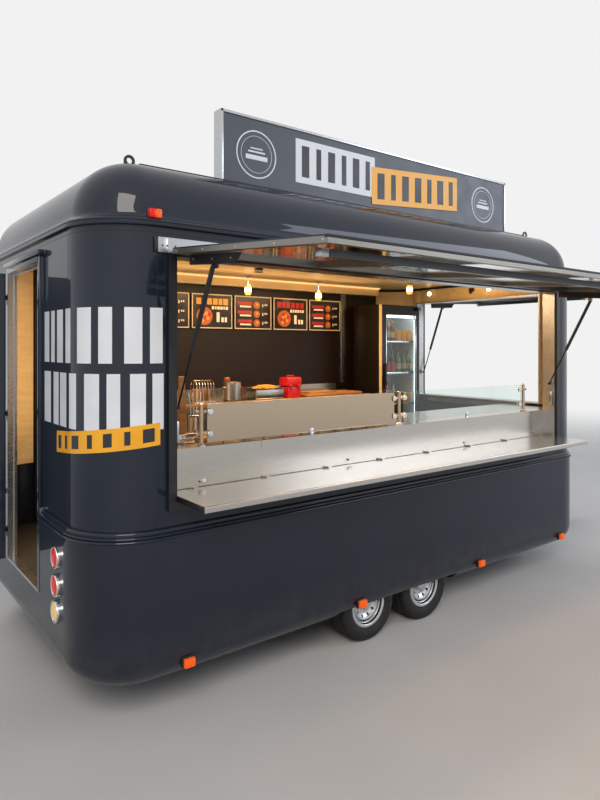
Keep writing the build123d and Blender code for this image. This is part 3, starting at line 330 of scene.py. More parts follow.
def make_finishes(settings):
    """Every finish of the trailer, by a short name."""
    return {
        "paint": gloss_coachwork(
            "Enamel_sprayed_anthracite", settings.paint, settings.paint_light, "#4a4a48"
        ),
        "black": smooth_coat("Powder_coat_black_on_aluminium", "#0d0f12", "#16191d", 0.38),
        "black_plastic": smooth_coat("Nylon_moulded_black", "#0b0b0c", "#151516", 0.45, 1.4),
        "aluminium": brushed_metal("Aluminium_anodised_extruded", "#b6b8ba", "#c2c4c5", 0.28, ALONG_X),
        "upright": brushed_metal("Aluminium_anodised_upright", "#b6b8ba", "#c2c4c5", 0.28, ALONG_Z),
        "mirror": brushed_metal("Aluminium_sheet_bright_rolled", "#c6c5c1", "#cecdc9", 0.12, ALONG_X, 0.01),
        "rail": brushed_metal("Aluminium_anodised_pale", "#aeb0b2", "#babcbe", 0.32, ALONG_X, 0.02),
        "leaf": brushed_metal("Aluminium_anodised_champagne", "#86837d", "#918e88", 0.34, ALONG_X, 0.02),
        "grey_rail": brushed_metal("Aluminium_anodised_grey", "#54565a", "#5d5f63", 0.32, ALONG_X, 0.02),
        "rod": smooth_coat("Nitrided_steel_black", "#121316", "#1a1c1f", 0.22, 20, 0.02, 0.6),
        "guard": brushed_metal("Stainless_steel_sheet_satin", "#b6a58e", "#bdac95", 0.2, ALONG_X, 0.006),
        "stainless": brushed_metal("Stainless_steel_brushed", "#bfbab2", "#c6c1b9", 0.22, ALONG_X, 0.005),
        "galvanised": galvanised_steel("Steel_hot_dip_galvanised", "#80868a", "#a9afb2"),
        "chrome": smooth_coat("Chrome_plate_polished", "#cfd1d4", "#e2e4e6", 0.12, 16, 0.02, 1.0),
        "glass": clear_sheet("Glass_float_toughened", "#e2f0ea", "#f4fbf8"),
        "wood": wood_grain("Walnut_laminate_satin", "#0c0503", "#180c05", 0.45, (0.07, 1, 1)),
        "oak": wood_grain("Beech_block_oiled", "#8a5c34", "#b98a57", 0.45, (0.07, 1, 1)),
        "floor": smooth_coat("Phenolic_plywood_pressed", "#2d2b29", "#3c3936", 0.6, 3.3),
        "cream": wood_grain("Maple_laminate_cream", "#d9c08f", "#e8d3a2", 0.35, (0.07, 1, 1)),
        "board": smooth_coat("Acrylic_sheet_black", "#120f10", "#1b1718", 0.25),
        "sign": smooth_coat("Aluminium_composite_slate", settings.sign, settings.sign_light, 0.4),
        "white": smooth_coat("Vinyl_film_white", settings.film, settings.film_light, 0.35),
        "amber_film": smooth_coat("Vinyl_film_amber", settings.accent, settings.accent_light, 0.35),
        "ink": smooth_coat("Vinyl_film_black", "#1c1f25", "#252932", 0.4),
        "orange": smooth_coat("Vinyl_film_orange", "#94481a", "#ab5822", 0.4),
        "board_red": smooth_coat("Vinyl_film_deep_red", "#8c1a1c", "#a82226", 0.4),
        "board_white": smooth_coat("Vinyl_film_ivory", "#d2ccbe", "#dfd9cb", 0.4),
        "board_amber": smooth_coat("Vinyl_film_honey", "#b9822c", "#cf983c", 0.4),
        "red": smooth_coat("Polypropylene_moulded_red", "#b80f14", "#d4181b", 0.35, coat=0.3),
        "amber_lens": moulded_lens("Acrylic_moulded_amber", "#e0440a", "#ff7a1a"),
        "red_lens": moulded_lens("Acrylic_moulded_red", "#c40508", "#ee2413"),
        "yellow_lens": moulded_lens("Acrylic_moulded_yellow", "#d9a648", "#f6dc9a"),
        "rubber": moulded_rubber("Rubber_moulded_tyre", "#0d0d0d", "#191918"),
        "seal": moulded_rubber("Rubber_extruded_gasket", "#0e0e0f", "#171718"),
        "rim": smooth_coat("Silver_lacquer_on_steel", "#c2c5c7", "#d6d8da", 0.28, 2, 0.05, 0.6, 0.6),
        "warm_glow": opal_glow("Glass_shade_amber", "#b5712a", "#f2b45e", 2.2),
        "bulb_glow": opal_glow("Lamp_filament_warm", "#ffd794", "#ffe9bd", 6.0),
        "strip_glow": opal_glow("Opal_strip_warm", "#ffbe6c", "#ffd092", 1.1),
        "cool_glow": opal_glow("Opal_strip_cool", "#dff2ff", "#f2faff", 5.0),
        "ground": studio_floor("Studio_floor_pale", "#c9c7c4", "#cfcdca", BACKDROP),
        "fridge_white": smooth_coat("Polystyrene_formed_white", "#d5dadd", "#e4e8ea", 0.3, coat=0.3),
        "bottle": smooth_coat("Glass_bottle_brown", "#6a3a12", "#a8651c", 0.1, coat=1.0),
        "bottle_green": smooth_coat("Glass_bottle_green", "#23502a", "#3c7a40", 0.1, coat=1.0),
        "crust": smooth_coat("Baked_crust", "#8a5f30", "#b58a54", 0.6, 4, 0.4),
        "frame_cream": smooth_coat("Lacquered_beech_pale", "#b8a98c", "#c8b99c", 0.45),
        "label": smooth_coat("Paper_label_pale", "#c9b98a", "#ddd2ac", 0.6),
        "chips": smooth_coat("Fried_potato", "#c98a2a", "#e8b452", 0.55, 5, 0.5),
    }


FINISH_OF_SLOT = {
    "body_paint": "paint",
    "black_metal": "black",
    "aluminium": "aluminium",
    "stainless": "stainless",
    "galvanised": "galvanised",
    "chrome": "chrome",
    "clear_glass": "glass",
    "dark_wood": "wood",
    "floor_board": "floor",
    "cream_lining": "cream",
    "board_black": "board",
    "sign_grey": "sign",
    "red_lens": "red_lens",
    "amber_lens": "amber_lens",
    "tyre_rubber": "rubber",
    "jockey_rubber": "rubber",
    "wheel_silver": "rim",
}
FINISH_OF_NODE = {
    "guard_frame": "guard",
    "hinge_rails": "rail",
    "serving_hatch_frame": "leaf",
    "front_hatch_frame": "leaf",
    "serving_strut_rods": "rod",
    "front_strut_rods": "rod",
}
FINISHES = {}


def finish(name):
    """A finish by its short name, made at first use."""
    if not FINISHES:
        FINISHES.update(make_finishes(bpy.context.scene.trailer_colours))
    return FINISHES[name]


# Surfaces


def grid_faces(rows, columns, wrap_rows=False, wrap_columns=False):
    """Quads of a grid of points: each joins a point to its neighbours along both ways."""
    row = np.arange(rows if wrap_rows else rows - 1)[:, None]
    column = np.arange(columns if wrap_columns else columns - 1)[None, :]
    below, beside = (row + 1) % rows, (column + 1) % columns
    near, far = row * columns, below * columns
    return np.stack([near + column, near + beside, far + beside, far + column], -1).reshape(-1, 4)


def rounded_box(low, high, radius=0.002, steps=2):
    """A box with rounded edges: a small sphere's points, each pushed out to the corner of
    the inner box that its octant faces, so the flat sides are the gaps between octants."""
    low, high = np.minimum(low, high), np.maximum(low, high)
    middle, half = (low + high) / 2, (high - low) / 2
    radius = min(radius, half.min() * 0.98)
    inner = half - radius
    quarter = np.linspace(0, math.pi / 2, steps + 1)
    turn = np.concatenate([quarter + k * math.pi / 2 for k in range(4)])
    lift = np.concatenate([quarter - math.pi / 2, quarter])[:, None]
    side_x = np.repeat([1, -1, -1, 1], steps + 1)
    side_y = np.repeat([1, 1, -1, -1], steps + 1)
    side_z = np.repeat([-1, 1], steps + 1)[:, None]
    x = middle[0] + side_x * inner[0] + radius * np.cos(lift) * np.cos(turn)
    y = middle[1] + side_y * inner[1] + radius * np.cos(lift) * np.sin(turn)
    z = middle[2] + side_z * inner[2] + radius * np.sin(lift) + 0 * turn
    rows, columns = 2 * (steps + 1), 4 * (steps + 1)
    ends = np.arange(4) * (steps + 1)
    caps = np.array([ends[::-1], (rows - 1) * columns + ends])
    return np.stack([x, y, z], -1).reshape(-1, 3), [grid_faces(rows, columns, wrap_columns=True), caps]


def axes_of(way):
    """Two directions square to way and to each other."""
    way = np.array(way, float) / np.linalg.norm(way)
    across = np.cross(way, UP if abs(way[2]) < 0.9 else TO_FRONT)
    across /= np.linalg.norm(across)
    return way, across, np.cross(way, across)


def turned(profile, centre, way, steps=40, closed=False):
    """A profile of (radius, distance along) pairs turned about the line through centre along
    way. A profile that starts and ends on the line is closed by it."""
    way, across, upright = axes_of(way)
    profile = np.array(profile, float)
    angle = np.linspace(0, 2 * math.pi, steps, endpoint=False)
    ring = np.cos(angle)[:, None] * across + np.sin(angle)[:, None] * upright
    points = np.array(centre, float) + profile[:, None, :1] * ring + profile[:, None, 1:] * way
    return points.reshape(-1, 3), [grid_faces(len(profile), steps, closed, True)]


def swept(section, origins, firsts, seconds, closed=False):
    """A closed section of (a, b) pairs carried along a path: at each origin it lies at a times
    the first direction plus b times the second. An open path gets an end face each side."""
    section = np.array(section, float)
    origins, firsts, seconds = (np.array(v, float) for v in (origins, firsts, seconds))
    points = (
        origins[:, None]
        + section[None, :, :1] * firsts[:, None]
        + section[None, :, 1:] * seconds[:, None]
    )
    count, width = len(origins), len(section)
    faces = [grid_faces(count, width, closed, True)]
    if not closed:
        faces.append(np.array([np.arange(width)[::-1], (count - 1) * width + np.arange(width)]))
    return points.reshape(-1, 3), faces


def straight(section, start, end):
    """A closed section of (y, z) pairs carried straight from one place to another."""
    return swept(section, [start, end], np.tile([0, 1.0, 0], (2, 1)), np.tile([0, 0, 1.0], (2, 1)))


def rod(path, radius, steps=12):
    """A round bar along a path of points: a circle carried square to each stretch. The path's
    two ends lie apart."""
    path = np.array(path, float)
    ways = np.gradient(path, axis=0)
    ways /= np.linalg.norm(ways, axis=1)[:, None]
    helper = axes_of(path[-1] - path[0])[1]
    firsts = helper - (ways @ helper)[:, None] * ways
    firsts /= np.linalg.norm(firsts, axis=1)[:, None]
    angle = np.linspace(0, 2 * math.pi, steps, endpoint=False)
    circle = radius * np.stack([np.cos(angle), np.sin(angle)], -1)
    return swept(circle, path, firsts, np.cross(ways, firsts))


FLAT_X, FLAT_Y = LENGTH - 2 * CORNER, 2 * (HALF - CORNER)
QUARTER = CORNER * math.pi / 2


def outline_knots():
    """The body's rounded outline as (distance, x, y, normal x, normal y): flats and quarter
    circles, from the middle of the rear face towards the serving side and round."""
    angle = np.radians(np.arange(0, 91, 3.0))
    rows, gone = [[0.0, 0.0, 0.0, -1.0, 0.0]], FLAT_Y / 2
    corners = ((0, -1, -1, 0), (1, -1, 0, -1), (1, 1, 1, 0), (0, 1, 0, 1))
    for number, (front, side, nx, ny) in enumerate(corners):
        centre = (front * LENGTH + (1 - 2 * front) * CORNER, side * (HALF - CORNER))
        normal = np.stack(
            [nx * np.cos(angle) - ny * np.sin(angle), ny * np.cos(angle) + nx * np.sin(angle)], -1
        )
        around = np.column_stack([gone + angle * CORNER, centre + CORNER * normal, normal])
        rows += around.tolist()
        gone += QUARTER + (FLAT_X if number % 2 == 0 else FLAT_Y)
    rows.append([gone - FLAT_Y / 2, 0.0, 0.0, -1.0, 0.0])
    return np.array(rows)


KNOTS = outline_knots()
AROUND = KNOTS[-1, 0]
# Where the outline's two serving corners start and end
REAR_CORNER = (FLAT_Y / 2, FLAT_Y / 2 + QUARTER)
FRONT_CORNER = (REAR_CORNER[1] + FLAT_X, REAR_CORNER[1] + FLAT_X + QUARTER)


def outline(places):
    """Points on the outline and their outward normals, at distances round it."""
    places = np.asarray(places, float)
    x, y, nx, ny = (np.interp(places, KNOTS[:, 0], KNOTS[:, k]) for k in range(1, 5))
    size = np.hypot(nx, ny)
    zero = np.zeros_like(x)
    return np.stack([x, y, zero], -1) + HOME, np.stack([nx / size, ny / size, zero], -1)


NARROW = 0.03


def stretch_of(start, end):
    """The outline's own knots between two distances, with both ends. A narrow stretch is
    taken as straight."""
    inside = KNOTS[(KNOTS[:, 0] > start + 1e-6) & (KNOTS[:, 0] < end - 1e-6), 0]
    return np.concatenate([[start], inside if end - start > NARROW else [], [end]])


def moulding(section, start=None, end=None, climb=0.0):
    """A section of (inset, height) pairs carried round the body, or along a part of it, where
    climb raises the far end."""
    closed = start is None
    places = KNOTS[:-1, 0] if closed else stretch_of(start, end)
    points, normals = outline(places)
    up = np.tile([0.0, 0.0, 1.0], (len(points), 1))
    if climb:
        points = points + up * (climb * (places - start) / (end - start))[:, None]
    return swept(section, points, -normals, up, closed)


def film(start, end, low, high, inset, thickness=0.0006, climb=0.0):
    """A thin film on the walls between two distances round the body and two heights: a
    slab whose outer face is inset less thickness. climb raises the far end."""
    face = inset - thickness
    return moulding([(inset, low), (face, low), (face, high), (inset, high)], start, end, climb)


def dome(centre, way, radius, height, steps=24):
    """A shallow dome with a flat back sunk a little, such as a screw's or rivet's head: a
    quarter of an ellipse turned about its own line."""
    sunk = 0.0005
    angle = np.linspace(0, math.pi / 2, 6)
    profile = [(0, -sunk), (radius, -sunk)]
    profile += [(radius * math.cos(a), height * math.sin(a)) for a in angle]
    profile[-1] = (0, height)
    return turned(profile, centre, way, steps)


# Heads of screws and rivets, by radius, height and steps round
SCREW = (0.0045, 0.0018, 12)
RAIL_SCREW = (0.005, 0.002, 12)
RIVET = (0.004, 0.0015, 12)


def disc(centre, way, radius, depth, round_off=0.001, steps=36):
    """A round plate with softened edges, from centre by depth along way."""
    r, e = radius, min(round_off, radius / 3, abs(depth) / 3)
    e = math.copysign(e, depth)
    profile = [(0, 0), (r - abs(e), 0), (r, e), (r, depth - e), (r - abs(e), depth), (0, depth)]
    return turned(profile, centre, way, steps)


class Shape:
    """Closed surfaces gathered for one piece, each with its place in the list of finishes."""

    def __init__(self):
        self.points, self.faces, self.marks, self.count = [], [], [], 0

    def add(self, surface, mark=0, move=None):
        """Adds points and groups of faces, first carried by move if it is given."""
        points, groups = surface
        points = np.asarray(points, float)
        self.points.append(points if move is None else move(points))
        for group in groups:
            self.faces += (np.asarray(group) + self.count).tolist()
            self.marks += [mark] * len(group)
        self.count += len(points)
        return self

    def box(self, low, high, radius=0.002, mark=0, move=None, steps=2):
        """Adds a rounded box between two places on the body, or between local ones."""
        if move is None:
            low, high = body(*low), body(*high)
        return self.add(rounded_box(np.array(low, float), np.array(high, float), radius, steps), mark, move)

    def border(self, low, high, width, radius, short=0.0):
        """Adds four rounded bars round an upright face, between two corners on the body. The
        uprights stop short of the outer edges by a given length."""
        (start, front, foot), (end, back, top) = low, high
        self.box((start, front, foot), (end, back, foot + width), radius)
        self.box((start, front, top - width), (end, back, top), radius)
        self.box((start, front, foot + short), (start + width, back, top - short), radius)
        self.box((end - width, front, foot + short), (end, back, top - short), radius)


def build(name, shape, finishes, rides="trailer", replaces=(), sharp=32):
    """Makes a piece of a shape: doubles merged, flat slivers gone, faces turned outwards and
    edges over the sharp angle kept crisp. It rides on its body and takes its slot."""
    mesh = bpy.data.meshes.new(name)
    mesh.from_pydata(np.concatenate(shape.points).tolist(), [], shape.faces)
    mesh.polygons.foreach_set("material_index", np.array(shape.marks, np.int32))
    for label in finishes:
        mesh.materials.append(finish(label))
    work = bmesh.new()
    work.from_mesh(mesh)
    bmesh.ops.remove_doubles(work, verts=work.verts, dist=1e-6)
    bmesh.ops.dissolve_degenerate(work, edges=work.edges, dist=1e-7)
    bmesh.ops.recalc_face_normals(work, faces=work.faces)
    work.to_mesh(mesh)
    work.free()
    mesh.shade_smooth()
    mesh.set_sharp_from_angle(angle=math.radians(sharp))
    piece = bpy.data.objects.new(name, mesh)
    bpy.context.scene.collection.objects.link(piece)
    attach(piece, rides)
    if replaces:
        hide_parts(*replaces)
    return piece


# How far each open hatch leans below level, in degrees
HATCH_DROOP = {"serving": 4.8, "front": -2.5}


class Hatch:
    """A hatch's own directions while it stands open, drooping by so many degrees: along its
    hinge, out along the leaf and square to it on the side that shows from below."""

    def __init__(self, name):
        joint = next(j for j in frame["joints"] if j["name"] == f"{name}_hatch_swing")
        self.title = name.capitalize()
        self.origin = np.array(joint["pos_m"], float)
        self.along = np.array(joint["axis"], float)
        level = np.array(TO_SERVING if name == "serving" else TO_FRONT, float)
        down = np.array(DOWN, float)
        droop = math.radians(HATCH_DROOP[name])
        self.out = level * math.cos(droop) + down * math.sin(droop)
        self.under = down * math.cos(droop) - level * math.sin(droop)

    def move(self, points):
        """Carries local (along, out, under) metres into the frame."""
        axes = np.stack([self.along, self.out, self.under])
        return self.origin + points @ axes


# Mouldings and roof

# The rear doorway's edge from the body's middle, then heights of the belt, the drip rail,
# the roof and the rails on it
DOOR_EDGE = 0.38
BELT_LOW, BELT_HIGH = 0.935, 0.990
GUTTER_LOW, ROOF_LOW, ROOF_HIGH = 2.470, 2.500, 2.840
RAIL_LOW = ROOF_HIGH + 0.008
# The roof's inset from the tub's sides, the radius of its rolled edge and its thickness
ROOF_INSET, ROOF_ROLL, ROOF_SKIN = 0.040, 0.300, 0.025


def arc(centre, radius, start, end, steps):
    """Points of a circle from one angle to another, in degrees."""
    angle = np.radians(np.linspace(start, end, steps + 1))
    return (np.array(centre) + radius * np.column_stack([np.cos(angle), np.sin(angle)])).tolist()


def rib(inset, height, reach, half):
    """A half-round rib on a section: it stands out of inset by reach, half to each side."""
    turn = np.linspace(0, math.pi, 7)
    return [(inset - reach * math.sin(a), height - half * math.cos(a)) for a in turn]


def make_belt():
    """The belt moulding: two ribs with a groove between them, then the shoulder that rolls
    in under the walls, carried round the body from one door jamb to the other."""
    low = BELT_LOW + 0.0005
    section = [(0.03, low), (0.002, low), (-0.004, low + 0.001)]
    section += rib(-0.004, low + 0.009, 0.0078, 0.007)
    section += [(-0.001, low + 0.0165), (-0.001, low + 0.0185)]
    section += rib(-0.003, low + 0.0255, 0.006, 0.0055)
    section += [(0.001, low + 0.032), (0.005, low + 0.033)]
    section += arc((0.018, BELT_HIGH - 0.014), 0.013, 180, 90, 5)
    section += [(0.03, BELT_HIGH - 0.001)]
    shape = Shape().add(moulding(section, DOOR_EDGE, AROUND - DOOR_EDGE))
    build("Belt_moulding", shape, ["paint"], replaces=["belt_trim"])


def make_gutter():
    """The drip rail under the roof: a square-edged band with a thin channel along its face."""
    low, high = GUTTER_LOW, ROOF_LOW
    section = [(0.052, low), (0.010, low), (0.006, low), (0.001, low + 0.001), (0.0, low + 0.003)]
    section += [(0.0, low + 0.0165), (0.003, low + 0.018), (0.003, low + 0.021), (0.0, low + 0.0225)]
    section += [(0.0, high - 0.002), (0.002, high), (0.052, high)]
    shape = Shape().add(moulding(section))
    build("Drip_rail", shape, ["paint"], replaces=["gutter_band"])


def make_roof():
    """The roof skin: from a flared lower edge a quarter circle rolls over to the flat crown.
    An inner skin follows it, and both are closed by level plates at the crown."""
    low = ROOF_LOW + 0.0005
    centre = (ROOF_INSET + ROOF_ROLL, ROOF_HIGH - ROOF_ROLL)
    outer = [(0.014, low), (0.0125, ROOF_LOW + 0.003), (0.018, ROOF_LOW + 0.009)]
    outer += [(0.030, ROOF_LOW + 0.016), (0.037, ROOF_LOW + 0.027)]
    outer += arc(centre, ROOF_ROLL, 180, 90, 22)
    inner_roll = ROOF_ROLL - ROOF_SKIN
    inner = arc(centre, inner_roll, 90, 180, 10) + [(ROOF_INSET + ROOF_SKIN, low)]
    section = np.array(outer[::-1] + inner[::-1])
    places = KNOTS[:-1, 0]
    points, normals = outline(places)
    carried = points[:, None] - section[None, :, :1] * normals[:, None] + section[None, :, 1:] * UP
    count, width = len(places), len(section)
    ring = np.arange(count) * width
    crowns = [ring.tolist()], [(ring + width - 1)[::-1].tolist()]
    shape = Shape()
    shape.add((carried.reshape(-1, 3), [grid_faces(count, width, True, False), *crowns]))
    build("Roof_skin", shape, ["paint"], replaces=["roof_cap"])


def make_roof_rails(height):
    """Two low black rails along the crown, each on short feet."""
    shape = Shape()
    for side in (-1, 1):
        shape.box((0.400, side * 0.760, RAIL_LOW), (3.965, side * 0.800, RAIL_LOW + height), 0.006)
        for x in np.linspace(0.5, 3.865, 8):
            low, high = (x - 0.02, side * 0.762, ROOF_HIGH), (x + 0.02, side * 0.798, RAIL_LOW + 0.004)
            shape.box(low, high, 0.002)
    build("Roof_rails", shape, ["black"])


def make_wall_joints():
    """The thin cover band under the drip rail and the sealed joints between the corner
    mouldings and the flat panels."""
    shape = Shape()
    sunk, proud = WALL_INSET + 0.001, WALL_INSET - 0.0015
    shape.add(moulding([(sunk, 2.440), (proud, 2.441), (proud, 2.4695), (sunk, 2.4698)]), 0)
    seams = REAR_CORNER + FRONT_CORNER
    for place in seams + tuple(AROUND - seam for seam in seams):
        shape.add(film(place - 0.0016, place + 0.0016, WALL_LOW, 2.4395, WALL_INSET, 0.0004), 1)
    build("Wall_joints", shape, ["paint", "seal"])


# Windows

# Middle and half width of the serving and the front window's opening, and the serving
# wall's outer face
SERVING_X, SERVING_HALF = 2.175, 1.730
FRONT_Y, FRONT_HALF = -0.045, 0.730
SERVING_WALL = -HALF + WALL_INSET
# How far a window's flange and a hinge rail stand off the wall, the flange's middle from
# the opening, and the height of the rail's middle
FLANGE, HINGE_RAIL = 0.020, 0.012
FLANGE_MIDDLE = 0.022
RAIL_MIDDLE = 2.379
# Inner faces of the rear and front hinge rails' run past the window, and its end and cap
RAIL_ENDS = ((0.4015, 0.350, 0.330), (3.9485, 4.000, 4.020))


def make_window_fixings():
    """Countersunk screws round both windows' flanges and along the hinge rails."""
    shape = Shape()
    face, front_face = SERVING_WALL - FLANGE, LENGTH - WALL_INSET + FLANGE
    for x in np.linspace(SERVING_X - SERVING_HALF + 0.12, SERVING_X + SERVING_HALF - 0.12, 12):
        shape.add(dome(body(x, face, 1.088), TO_SERVING, *SCREW))
    for side in (-1, 1):
        x = SERVING_X + side * (SERVING_HALF + FLANGE_MIDDLE)
        for z in (1.18, 1.485, 1.539, 1.588, 1.95, 2.30):
            shape.add(dome(body(x, face, z), TO_SERVING, *SCREW))
    along = np.linspace(SERVING_X - SERVING_HALF - 0.003, SERVING_X + SERVING_HALF + 0.003, 14)
    for x in (*along, 0.397, 3.953):
        shape.add(dome(body(x, SERVING_WALL - HINGE_RAIL, RAIL_MIDDLE), TO_SERVING, *RAIL_SCREW), 1)
    for y in np.linspace(FRONT_Y - FRONT_HALF + 0.1, FRONT_Y + FRONT_HALF - 0.1, 5):
        shape.add(dome(body(front_face, y, 1.348), TO_FRONT, *SCREW))
        shape.add(dome(body(front_face, y, 2.420), TO_FRONT, *RAIL_SCREW))
    for side in (-1, 1):
        y = FRONT_Y + side * (FRONT_HALF + FLANGE_MIDDLE)
        for z in np.linspace(1.46, 2.26, 4):
            shape.add(dome(body(front_face, y, z), TO_FRONT, *SCREW))
    build("Window_screws", shape, ["stainless", "black"])


def make_rail_ends():
    """The hinge rail runs on past the window each side and ends in a black moulded cap."""
    shape = Shape()
    back, front = SERVING_WALL, SERVING_WALL - HINGE_RAIL
    for inner, outer, cap in RAIL_ENDS:
        shape.box((inner, front, 2.3455), (outer, back + 0.0002, 2.4198), 0.0008, 0)
        shape.box((outer, front - 0.0012, 2.3445), (cap, back + 0.0006, 2.4208), 0.003, 1)
    for x in (0.372, 3.978):
        shape.add(dome(body(x, front, RAIL_MIDDLE), TO_SERVING, *RAIL_SCREW), 1)
    build("Hinge_rail_ends", shape, ["rail", "black_plastic"])


def make_jamb_fittings():
    """The serving window's folded jamb bracket at each strut's foot, with its two screws,
    and a soft black lip round the opening."""
    shape = Shape()
    for side in (-1, 1):
        wall = SERVING_X + side * (SERVING_HALF - 0.0008)
        room = SERVING_X + side * (SERVING_HALF - 0.0035)
        shape.box((wall, -1.119, 1.400), (room, -1.080, 1.506), 0.001, 0)
        shape.box((wall, -1.119, 1.400), (wall - side * 0.026, -1.1165, 1.506), 0.001, 0)
        for z in (1.425, 1.482):
            shape.add(dome(body(room, -1.099, z), (-side, 0, 0), *RAIL_SCREW), 0)
        edge = SERVING_X + side * (SERVING_HALF - 0.0025)
        shape.box((edge - 0.0025, -1.1445, 1.140), (edge + 0.0025, -1.1365, 2.326), 0.002, 1)
    build("Jamb_fittings", shape, ["rail", "seal"])


def make_reveals():
    """Pale laminate round the windows' inner faces and in the corners, as the room inside
    is lined: thin boards that stand off the wall's inner skin. At the front they stop at
    the counters, and at the rear they run down to the tub."""
    shape = Shape()
    board, joint, sleeve = 0.004, 0.001, 0.012
    inside = INNER_INSET + joint
    counter, high = 1.350, 2.526
    y = -HALF + inside
    start, end = SERVING_X - SERVING_HALF - sleeve, SERVING_X + SERVING_HALF + sleeve
    shape.box((CORNER, y, WALL_LOW), (start - joint, y + board, high), 0.001)
    shape.box((end + joint, y, counter), (LENGTH - CORNER, y + board, high), 0.001)
    shape.box((start, y, 2.344), (end, y + board, high), 0.001)
    x = LENGTH - inside
    start, end = FRONT_Y - FRONT_HALF - sleeve, FRONT_Y + FRONT_HALF + sleeve
    shape.box((x, -HALF + CORNER, counter), (x - board, start - joint, high), 0.001)
    shape.box((x, end + joint, counter), (x - board, HALF - CORNER, high), 0.001)
    shape.box((x, start, 2.364), (x - board, end, high), 0.001)
    rear, front = (DOOR_EDGE + joint, REAR_CORNER[1]), FRONT_CORNER
    for (first, last), low in ((rear, WALL_LOW + joint), (front, counter)):
        section = [(inside, low), (inside, high), (inside + board, high), (inside + board, low)]
        shape.add(moulding(section, first, last))
        shape.add(moulding(section, AROUND - last, AROUND - first))
    build("Room_lining", shape, ["cream"])


def make_jamb_covers():
    """Painted cover strips over the serving-side jamb, the head and the drip rail of the rear
    doorway, and a rubber lip down the far jamb."""
    shape = Shape()
    shape.box((-0.0016, -0.3795, 0.525), (0.0004, -0.3405, 2.388), 0.0006, 0)
    shape.box((-0.0016, -0.3818, 0.995), (0.0212, -0.3800, 2.388), 0.0006, 0)
    shape.box((-0.0016, -0.3400, 2.3505), (0.0004, 0.3795, 2.388), 0.0006, 0)
    shape.box((-0.0022, 0.3405, 0.525), (0.0004, 0.3460, 2.3495), 0.0008, 1)
    shape.box((-0.0137, -0.4006, 2.3888), (0.0210, 0.4006, 2.4157), 0.0012, 0)
    build("Jamb_covers", shape, ["paint", "seal"])


class TRAILER_OT_shell(bpy.types.Operator):
    """Belt moulding, drip rail, roof skin, roof rails and panel joints"""

    bl_idname = "trailer.shell"
    bl_label = "Shell and roof"

    def execute(self, context):
        make_belt()
        make_gutter()
        make_roof()
        make_roof_rails(context.scene.trailer_sizes.rail_height)
        make_wall_joints()
        return {"FINISHED"}


class TRAILER_OT_windows(bpy.types.Operator):
    """Screws and fittings of the windows, the pale lining round them and the doorway's covers"""

    bl_idname = "trailer.windows"
    bl_label = "Window fittings"

    def execute(self, context):
        make_window_fixings()
        make_rail_ends()
        make_jamb_fittings()
        make_reveals()
        make_jamb_covers()
        return {"FINISHED"}


# Hatches

# A hatch's leaf, square to itself: its plate's inner face and its frame's. Its frame's
# border, its overlap past the opening, its root from the hinge, the struts' place from the
# opening's edge, and the stiffener's ends and place from the free edge
PLATE_UNDER, FRAME_UNDER = -0.009, 0.015
BORDER, OVERLAP, ROOT = 0.040, 0.045, 0.024
STRUT_INSET = 0.030
STIFFENER_INSET, STIFFENER_BACK = 0.070, 0.205


def make_hatch_lining(name, half, reach, bays):
    """Bright sheets pressed into the bays of one hatch's frame."""
    hatch, shape = Hatch(name), Shape()
    outer = half + OVERLAP
    gap = 0.001
    bay = (2 * outer - (bays + 1) * BORDER) / bays
    for i in range(bays):
        start = -outer + BORDER + i * (bay + BORDER)
        low = (start + gap, ROOT + BORDER + gap, PLATE_UNDER + 0.0002)
        high = (start + bay - gap, reach - BORDER - gap, PLATE_UNDER + 0.0022)
        shape.box(low, high, 0.0008, 0, hatch.move, 1)
    build(f"{hatch.title}_hatch_lining", shape, ["mirror"], f"{name}_hatch")


def make_hatch_housings(name, half, arm_start, arm_end, seat):
    """Black wedge covers over one hatch's strut plates: as deep as the plate from its start
    to its end, then down to the frame. Three screws hold each."""
    hatch, shape = Hatch(name), Shape()
    flat, deep = FRAME_UNDER - 0.0005, 0.0615
    wedge = [
        (arm_start - 0.001, flat),
        (arm_start + 0.001, deep - 0.004),
        (arm_start + 0.005, deep),
        (arm_end + 0.001, deep),
        (arm_end + 0.045, flat),
    ]
    near, far = half - STRUT_INSET - 0.0265, half - STRUT_INSET - 0.0142
    for side in (-1, 1):
        shape.add(straight(wedge, (side * near, 0, 0), (side * far, 0, 0)), 0, hatch.move)
        for spot in (0.07, seat - 0.04, arm_end - 0.03):
            shape.add(dome((side * far, spot, 0.037), (side, 0, 0), *SCREW), 1, hatch.move)
    finishes = ["black_plastic", "stainless"]
    build(f"{hatch.title}_hatch_housings", shape, finishes, f"{name}_hatch")


def make_hatch_stiffener(name, half, reach):
    """A grey sleeve with chamfered edges over one hatch's stiffener, and a bright cap on
    each end with two rivets."""
    hatch, shape = Hatch(name), Shape()
    ends, start = half - STIFFENER_INSET, reach - STIFFENER_BACK
    sleeve = [(-0.0008, FRAME_UNDER), (-0.0008, 0.0442), (0.0015, 0.0462)]
    sleeve += [(0.0285, 0.0462), (0.0308, 0.0442), (0.0308, FRAME_UNDER)]
    path = (-ends - 0.001, start, 0.0), (ends + 0.001, start, 0.0)
    shape.add(straight(sleeve, *path), 0, hatch.move)
    top = 0.0478
    for side in (-1, 1):
        low = (side * (ends + 0.0012), start - 0.006, FRAME_UNDER + 0.0002)
        high = (side * (ends - 0.034), start + 0.036, top)
        shape.box(low, high, 0.0015, 1, hatch.move)
        for spot in (-0.008, -0.024):
            shape.add(dome((side * (ends + spot), start + 0.015, top), UP, *RIVET), 1, hatch.move)
    build(f"{hatch.title}_hatch_stiffener", shape, ["grey_rail", "rail"], f"{name}_hatch")


